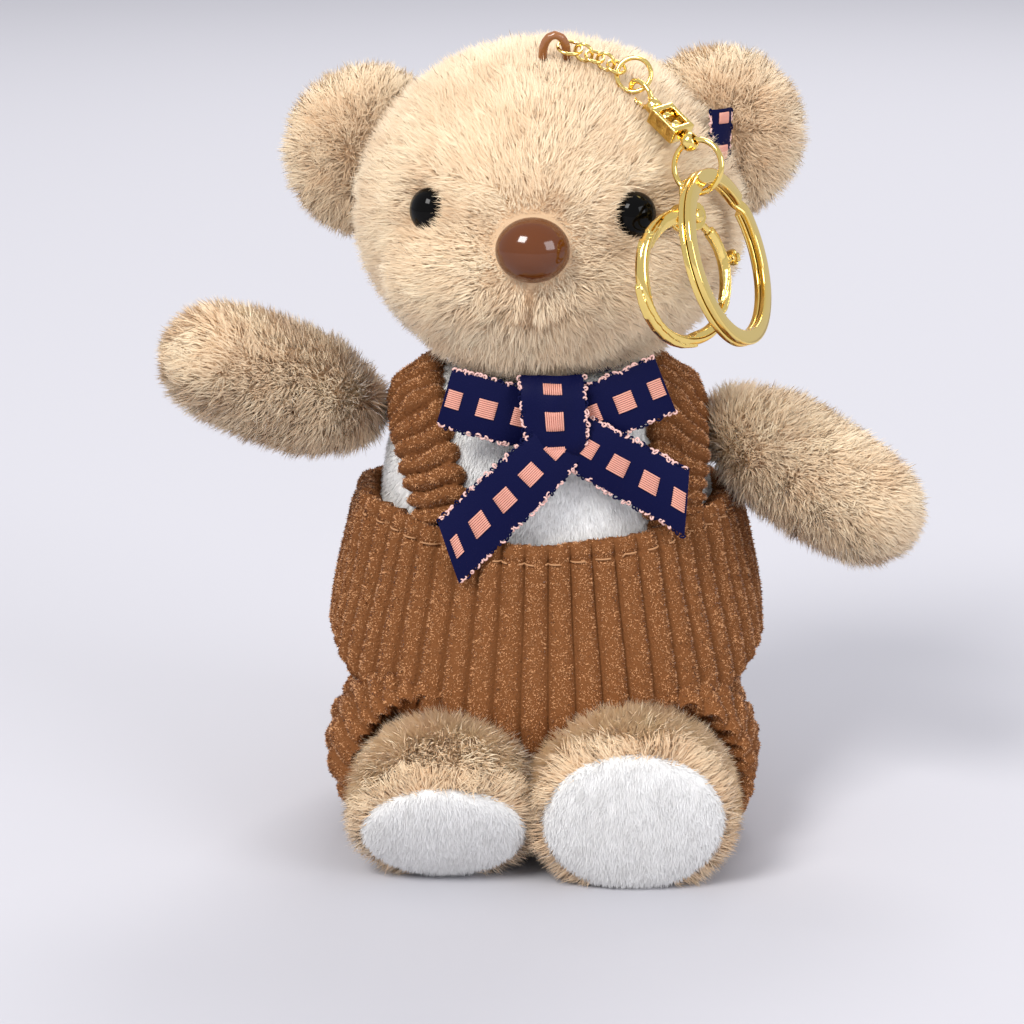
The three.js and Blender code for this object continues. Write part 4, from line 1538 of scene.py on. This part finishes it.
@dataclass
class Hardware:
    """The gold chain, swivel, clasp and rings."""

    def build(self) -> None:
        """Builds every piece."""
        nodes_of = frame["record"]["behaviour"]["bodies"]
        bodies = {node: body for body, nodes in nodes_of.items() for node in nodes}
        links = [n for n in bodies if n.startswith("chain_link_")] + ["crown_ring", "jump_ring", "oval_link"]
        for node in links:
            self._link(node, bodies[node])
        for node in ("swivel_eye", "swivel_yoke", "swivel_lower_eye", "clasp_hook", "clasp_gate", "gate_pin"):
            self._polished(node, bodies[node])
        self._split_ring(bodies["split_ring"])
        cord = soft_copy("hanging_loop", "crown_cord_loop", BROWN_CORD, 0.05 * MM, 0.18 * MM, 5)
        dress(cord, Slot.CORD, ["hanging_loop"])

    def _link(self, node: str, body: str) -> None:
        """A round link, redrawn smoothly.

        Args:
            node: its CAD node.
            body: its CAD body.
        """
        points = points_of(node)
        middle, axis, radius = ring_fit(points)
        wire = np.abs((points - middle) @ axis).max()
        across = unit(np.cross(axis, [0.3, 0.9, 0.2]))
        other = np.cross(axis, across)
        turn = np.linspace(0, FULL_TURN, 72, endpoint=False)[:, None]
        path = middle + radius * (across * np.cos(turn) + other * np.sin(turn))
        piece = tubes([path], wire, node + "_polished", GOLD, Slot.GOLD, body, closed=True, sides=20)
        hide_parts(node)

    def _polished(self, node: str, body: str) -> None:
        """A metal part with rounded edges.

        Args:
            node: its CAD node.
            body: its CAD body.
        """
        piece = soft_copy(node, node + "_polished", GOLD, 0.03 * MM, 0.16 * MM, 5)
        if node in ("clasp_hook", "clasp_gate"):
            self._true_arc(piece)
        dress(piece, Slot.GOLD, [node], body=body)

    def _true_arc(self, piece: bpy.types.Object) -> None:
        """Makes the clasp's bent bar truly round, both along it and across it.

        Args:
            piece: the hook or the gate.
        """
        pin = centre_of("gate_pin")
        ring = np.concatenate([points_of("clasp_hook"), points_of("clasp_gate")])
        middle, axis, radius = ring_fit(ring[np.linalg.norm(ring - pin, axis=1) > 6 * MM])
        skin = Skin.of(piece)
        flat = skin.points - middle
        flat = flat - (flat @ axis)[:, None] * axis
        radial = unit(flat)
        along = np.cross(axis, radial)
        off = skin.points - (middle + radial * radius)
        off = off - (off * along).sum(axis=1, keepdims=True) * along
        size = np.linalg.norm(off, axis=1)
        far = np.clip((np.linalg.norm(skin.points - pin, axis=1) - 6.5 * MM) / (2 * MM), 0, 1)
        wire = np.median(size[far > 0.9])
        bar = (size > 0.7 * wire) & (size < 1.3 * wire)
        moved = skin.points + unit(off) * ((wire - size) * far * bar)[:, None]
        skin.put(piece, moved)

    def _split_ring(self, body: str) -> None:
        """The flat split ring: one flat wire coiled twice.

        Args:
            body: its CAD body.
        """
        points = points_of("split_ring")
        middle, axis, radius = ring_fit(points)
        reach = np.linalg.norm((points - middle) - ((points - middle) @ axis)[:, None] * axis, axis=1)
        inner, outer = np.percentile(reach, 2), np.percentile(reach, 98)
        thick = np.percentile(np.abs((points - middle) @ axis), 98)
        turn_thick = thick * 0.94
        ahead = axis * (1 if axis[0] > 0 else -1)
        self._flat_ring(middle, ahead, inner, outer, turn_thick, thick, body)

    def _flat_ring(
        self,
        middle: Array,
        axis: Array,
        inner: float,
        outer: float,
        turn_thick: float,
        thick: float,
        body: str,
    ) -> None:
        """Sweeps the flat wire round twice.

        Args:
            middle: the ring's middle.
            axis: the way it faces.
            inner: its inner radius.
            outer: its outer radius.
            turn_thick: thickness of one turn.
            thick: half of the ring's thickness.
            body: its CAD body.
        """
        down = unit(np.array([0, 0, -1.0]) + axis * axis[2])
        side = np.cross(axis, down)
        start = math.radians(180 - 58 + 4)
        steps = 260
        turns = np.linspace(0, 4 * math.pi - math.radians(9), steps)
        half_wide, half_thick, soft = (outer - inner) / 2, turn_thick / 2, 0.28 * MM
        corner = np.linspace(0, math.pi / 2, 5)
        outline = []
        for sx, sz, begin in ((1, 1, 0), (-1, 1, 1), (-1, -1, 2), (1, -1, 3)):
            for a in corner + begin * math.pi / 2:
                wide = sx * (half_wide - soft) + soft * math.cos(a)
                high = sz * (half_thick - soft) + soft * math.sin(a)
                outline.append((wide, high))
        outline = np.array(outline)
        past_step = (turns - FULL_TURN + math.radians(4.5)) / math.radians(2.2)
        level = (thick - half_thick) * (1 - 2 / (1 + np.exp(-past_step)))
        angle = start + turns
        radial = down * np.cos(angle)[:, None] + side * np.sin(angle)[:, None]
        centre = middle + radial * (inner + outer) / 2 + axis * level[:, None]
        rings = centre[:, None] + radial[:, None] * outline[None, :, :1] + axis * outline[None, :, 1:]
        count = len(outline)
        faces = grid_faces(steps, count, False, True)
        mesh = bpy.data.meshes.new("split_ring_polished")
        ends = [tuple(range(count))[::-1], tuple(range((steps - 1) * count, steps * count))]
        mesh.from_pydata(rings.reshape(-1, 3).tolist(), [], faces.tolist() + ends)
        obj = bpy.data.objects.new("split_ring_polished", mesh)
        bpy.context.scene.collection.objects.link(obj)
        mesh.materials.append(GOLD.material())
        face_out(obj)
        bpy.ops.object.shade_smooth_by_angle(angle=math.radians(50))
        dress(obj, Slot.GOLD, ["split_ring"], body=body)


# ---- ribbon ---------------------------------------------------------------------------------------------


@dataclass
class RibbonPiece:
    """One visible length of the neck ribbon.

    Args:
        node: the CAD node that gives its place.
        name: the piece's name.
        slant: how far one corner of the free end reaches past the other, in metres.
        wave: height of the ribbon's soft waves, in metres.
        seed: of the random draws for the looped edge.
        rise: how far its free end is turned up from level, in radians; 0 follows the CAD node.
        width: of the woven part, in metres.
        thick: its thickness.
        square: side of a pink square.
        square_pitch: from one square to the next.
        sheet: whether it is a flat sheet of cloth; a folded, sewn tab isn't.
        drop: how far it hangs below the CAD node, in metres.
        long: the way it runs, found when it is built, as are those that follow.
        across: the way from one edge to the other.
        facing: the way its face looks.
        middle: the point that it is measured from.
        start: where it starts, along the way it runs.
        end: where it ends.
    """

    node: str
    name: str
    slant: float
    wave: float
    seed: int
    rise: float = 0.0
    width: float = 9.6 * MM
    thick: float = 0.32 * MM
    square: float = 3.1 * MM
    square_pitch: float = 6.0 * MM
    sheet: bool = True
    drop: float = 0.0
    long: Array = field(init=False)
    across: Array = field(init=False)
    facing: Array = field(init=False)
    middle: Array = field(init=False)
    start: float = field(init=False)
    end: float = field(init=False)

    def build(self) -> None:
        """Builds the cloth, its pink squares and its looped edges."""
        points = points_of(self.node)
        mean = points.mean(axis=0)
        axes = np.linalg.svd(points - mean)[2]
        self.long, self.facing = axes[0], axes[2]
        knot = centre_of("ribbon_knot")
        self.long = self.long * (1 if (mean - knot) @ self.long > 0 else -1)
        self.facing = self.facing * (-1 if self.facing[1] > 0 else 1)
        if self.rise:
            outward = np.sign(mean[0] - knot[0])
            self.facing = np.array([0, -1.0, 0])
            self.long = np.array([outward * math.cos(self.rise), 0, math.sin(self.rise)])
        self.across = np.cross(self.facing, self.long)
        along = (points - mean) @ self.long
        self.start, self.end = along.min() - 2.2 * MM, along.max()
        low = ((points - mean) @ self.across).min()
        high = ((points - mean) @ self.across).max()
        self.middle = mean + self.across * (low + high) / 2 - self.facing * 0.2 * MM
        self.middle[2] -= self.drop
        self._cloth()
        self._squares()
        self._picots()

    def place(self, u: Array, v: Array, lift: float | Array = 0.0) -> Array:
        """A point on the ribbon.

        Args:
            u: how far along it, from 0 to 1.
            v: how far across it, from -1 to 1.
            lift: how far in front of it, in metres.

        Returns:
            The point or points.
        """
        u, v = np.asarray(u, float), np.asarray(v, float)
        length = self.end - self.start
        slant = self.slant * v * np.clip(u * 1.6 - 0.6, 0, 1)
        run = self.start + u * length + slant
        wave = self.wave * (np.sin(u * 7 + self.seed) + 0.6 * v * np.sin(u * 5 + 2 * self.seed))
        curl = -0.5 * MM * v**2
        pinch = 1 - 0.22 * np.exp(-u * 7)
        out = wave + curl + lift - 1.2 * MM * np.exp(-u * 6)
        return (
            self.middle
            + np.multiply.outer(run, self.long)
            + np.multiply.outer(v * self.width / 2 * pinch, self.across)
            + np.multiply.outer(out, self.facing)
        )

    def _cloth(self) -> None:
        """The navy weave."""
        rows, columns = 70, 14
        u, v = np.meshgrid(np.linspace(0, 1, rows), np.linspace(-1, 1, columns), indexing="ij")
        faces = grid_faces(rows, columns, False, False)[:, [0, 3, 2, 1]]
        obj = make_mesh(self.name, self.place(u, v).reshape(-1, 3), faces, [NAVY_WEAVE])
        body = obj.modifiers.new("weave", "SOLIDIFY")
        body.thickness = self.thick
        body.offset = 0
        settle(obj)
        face_out(obj)
        bpy.ops.object.shade_smooth_by_angle(angle=math.radians(40))
        dress(obj, Slot.RIBBON, [self.node])
        if not self.sheet:
            return

    def _squares(self) -> None:
        """Woven pink squares, each of fine satin threads."""
        length = self.end - self.start
        threads = []
        spots = np.arange(self.end - 1.2 * MM, self.start, -self.square_pitch)
        rows = 9
        for spot in spots:
            for k in range(rows):
                v = (k - (rows - 1) / 2) / rows * self.square / (self.width / 2)
                u = (spot + np.linspace(-0.5, 0.5, 5) * self.square - self.start) / length
                keep = (u > 0.03) & (u < 0.985)
                if keep.sum() < 3:
                    continue
                lift = self.thick / 2 + 0.05 * MM + 0.07 * MM * np.cos(np.linspace(-1.4, 1.4, 5))
                threads.append(self.place(u[keep], np.full(keep.sum(), v), lift[keep]))
        tubes(threads, 0.165 * MM, self.name + "_squares", PINK_THREAD, Slot.RIBBON)

    def _picots(self) -> None:
        """Small thread loops along both edges."""
        rng = np.random.default_rng(self.seed)
        length = self.end - self.start
        count = int(length / (0.72 * MM))
        pale, dark = [], []
        turn = np.linspace(0, FULL_TURN, 8, endpoint=False)
        for edge in (-1, 1):
            for k in range(count):
                u = (k + 0.5 + rng.normal(0, 0.12)) / count
                spot = self.place(u, edge * (1.02 + rng.normal(0, 0.025)))
                size = rng.uniform(0.28, 0.44) * MM
                one = unit(self.long + rng.normal(0, 0.35, 3))
                two = unit(self.across + rng.normal(0, 0.35, 3))
                loop = spot + size * (np.cos(turn)[:, None] * one + np.sin(turn)[:, None] * two * 0.9)
                (dark if rng.random() < 0.38 else pale).append(loop)
        tubes(pale, 0.18 * MM, self.name + "_picots", PICOT_THREAD, Slot.RIBBON, closed=True, sides=5)
        tubes(dark, 0.17 * MM, self.name + "_dark_picots", NAVY_WEAVE, Slot.RIBBON, closed=True, sides=5)


@dataclass
class Knot(RibbonPiece):
    """The ribbon wrapped round the bow's middle."""

    def build(self) -> None:
        """Builds the wrap, its squares and its edges."""
        low, high = box_of(self.node)
        self.middle = (low + high) / 2
        self.middle[1] = low[1] + 0.2 * MM
        self.long = np.array([0, 0, -1.0])
        self.across, self.facing = np.array([1.0, 0, 0]), np.array([0, -1.0, 0])
        self.start, self.end = -6.4 * MM, 7.8 * MM
        self._cloth()
        self._squares()
        self._picots()

    def place(self, u: Array, v: Array, lift: float | Array = 0.0) -> Array:
        """A point on the wrap, which bulges forwards and folds back at both ends.

        Args:
            u: how far down it, from 0 to 1.
            v: how far across it, from -1 to 1.
            lift: how far in front of it, in metres.

        Returns:
            The point or points.
        """
        u, v = np.asarray(u, float), np.asarray(v, float)
        run = self.start + u * (self.end - self.start)
        narrow = 1 - 0.3 * np.clip(u - 0.35, 0, 1) ** 1.5
        bulge = 2.6 * MM * (1 - (2 * u - 1) ** 4) - 0.9 * MM * v**2 + 0.25 * MM * np.sin(v * 6 + u * 4)
        drift = 1.0 * MM * (u - 0.5)
        return (
            self.middle
            + np.multiply.outer(run, self.long)
            + np.multiply.outer(v * self.width / 2 * narrow + drift, self.across)
            + np.multiply.outer(bulge - 1.6 * MM + lift, self.facing)
        )


@dataclass
class Bow:
    """The whole neck ribbon and the folded tab at the left ear."""

    def build(self) -> None:
        """Builds every piece."""
        right, left = math.radians(16), math.radians(22)
        for piece in (
            RibbonPiece("ribbon_bow_right", "bow_upper_right", 0.0, 0.35 * MM, 3, rise=right, drop=2 * MM),
            RibbonPiece("ribbon_bow_left", "bow_upper_left", 0.0, 0.35 * MM, 4, rise=left, drop=2 * MM),
            RibbonPiece("ribbon_tail_right", "bow_tail_right", 2.4 * MM, 0.4 * MM, 5),
            RibbonPiece("ribbon_tail_left", "bow_tail_left", -2.4 * MM, 0.4 * MM, 6),
            Knot("ribbon_knot", "bow_knot", 0.0, 0.0, 7, width=10.4 * MM),
            RibbonPiece(
                "ear_ribbon_tab", "ear_tab", 0.0, 0.0, 8, width=4.8 * MM, square=2.3 * MM, sheet=False
            ),
        ):
            piece.build()
        band = soft_copy("ribbon_neck_band", "neck_band", NAVY_WEAVE, 0, 0.3 * MM, 2)
        dress(band, Slot.RIBBON, ["ribbon_neck_band"])


# ---- camera, lights and floor -----------------------------------------------------------------------------


@dataclass
class Studio:
    """The camera, a pale floor and soft lights.

    Args:
        target: the point that the camera and the lights are turned to.
        distance: from the camera to it.
        elevation: how high the camera stands, as an angle.
        lens: focal length, in millimetres.
    """

    target: tuple[float, float, float] = (-5.5 * MM, 0.0, 53.3 * MM)
    distance: float = 500 * MM
    elevation: float = math.radians(15)
    lens: float = 100.4

    def build_camera(self) -> None:
        """The camera, looking along +Y and a little down."""
        data = bpy.data.cameras.new("camera")
        data.lens = self.lens
        data.sensor_width = 36.0
        data.clip_start = 0.01
        camera = bpy.data.objects.new("camera", data)
        bpy.context.scene.collection.objects.link(camera)
        back = Vector((0, -math.cos(self.elevation), math.sin(self.elevation)))
        camera.location = Vector(self.target) + back * self.distance
        camera.rotation_euler = (-back).to_track_quat("-Z", "Y").to_euler()
        bpy.context.scene.camera = camera

    def _area(
        self, name: str, place: Sequence[float], size: float, watts: float, colour: Sequence[float]
    ) -> None:
        """A soft square light, turned to the bear.

        Args:
            name: its name.
            place: where it is.
            size: its side, in metres.
            watts: its power.
            colour: its colour.
        """
        data = bpy.data.lights.new(name, "AREA")
        data.size = size
        data.energy = watts
        data.color = colour
        light = bpy.data.objects.new(name, data)
        bpy.context.scene.collection.objects.link(light)
        light.location = place
        light.rotation_euler = (Vector(self.target) - Vector(place)).to_track_quat("-Z", "Y").to_euler()

    def build_stage(self) -> None:
        """The floor, the lights and the room's even light."""
        bpy.ops.mesh.primitive_plane_add(size=8)
        floor = bpy.context.object
        floor.name = "floor"
        floor.data.materials.append(Finish("floor", (0.53, 0.525, 0.56), 0.8, gloss=0.1).material())
        self._area("key", (-1.0, -1.3, 1.7), 0.8, 42.0, (1.0, 0.985, 0.96))
        self._area("fill", (1.2, -1.0, 0.7), 0.8, 11.0, (0.96, 0.97, 1.0))
        self._area("rim", (0.3, 1.2, 1.4), 0.8, 14.0, (1.0, 0.99, 0.98))
        world = bpy.data.worlds.new("room")
        bpy.context.scene.world = world
        world.use_nodes = True
        room = world.node_tree.nodes["Background"].inputs
        room["Color"].default_value = (0.88, 0.89, 0.95, 1)
        room["Strength"].default_value = 0.72
        bpy.context.scene.view_settings.view_transform = "Standard"


def main() -> None:
    """Builds the whole scene."""
    studio = Studio()
    studio.build_camera()
    Head().build()
    Limbs().build()
    Dungarees().build()
    Bow().build()
    Hardware().build()
    studio.build_stage()


if __name__ == "__main__":
    main()
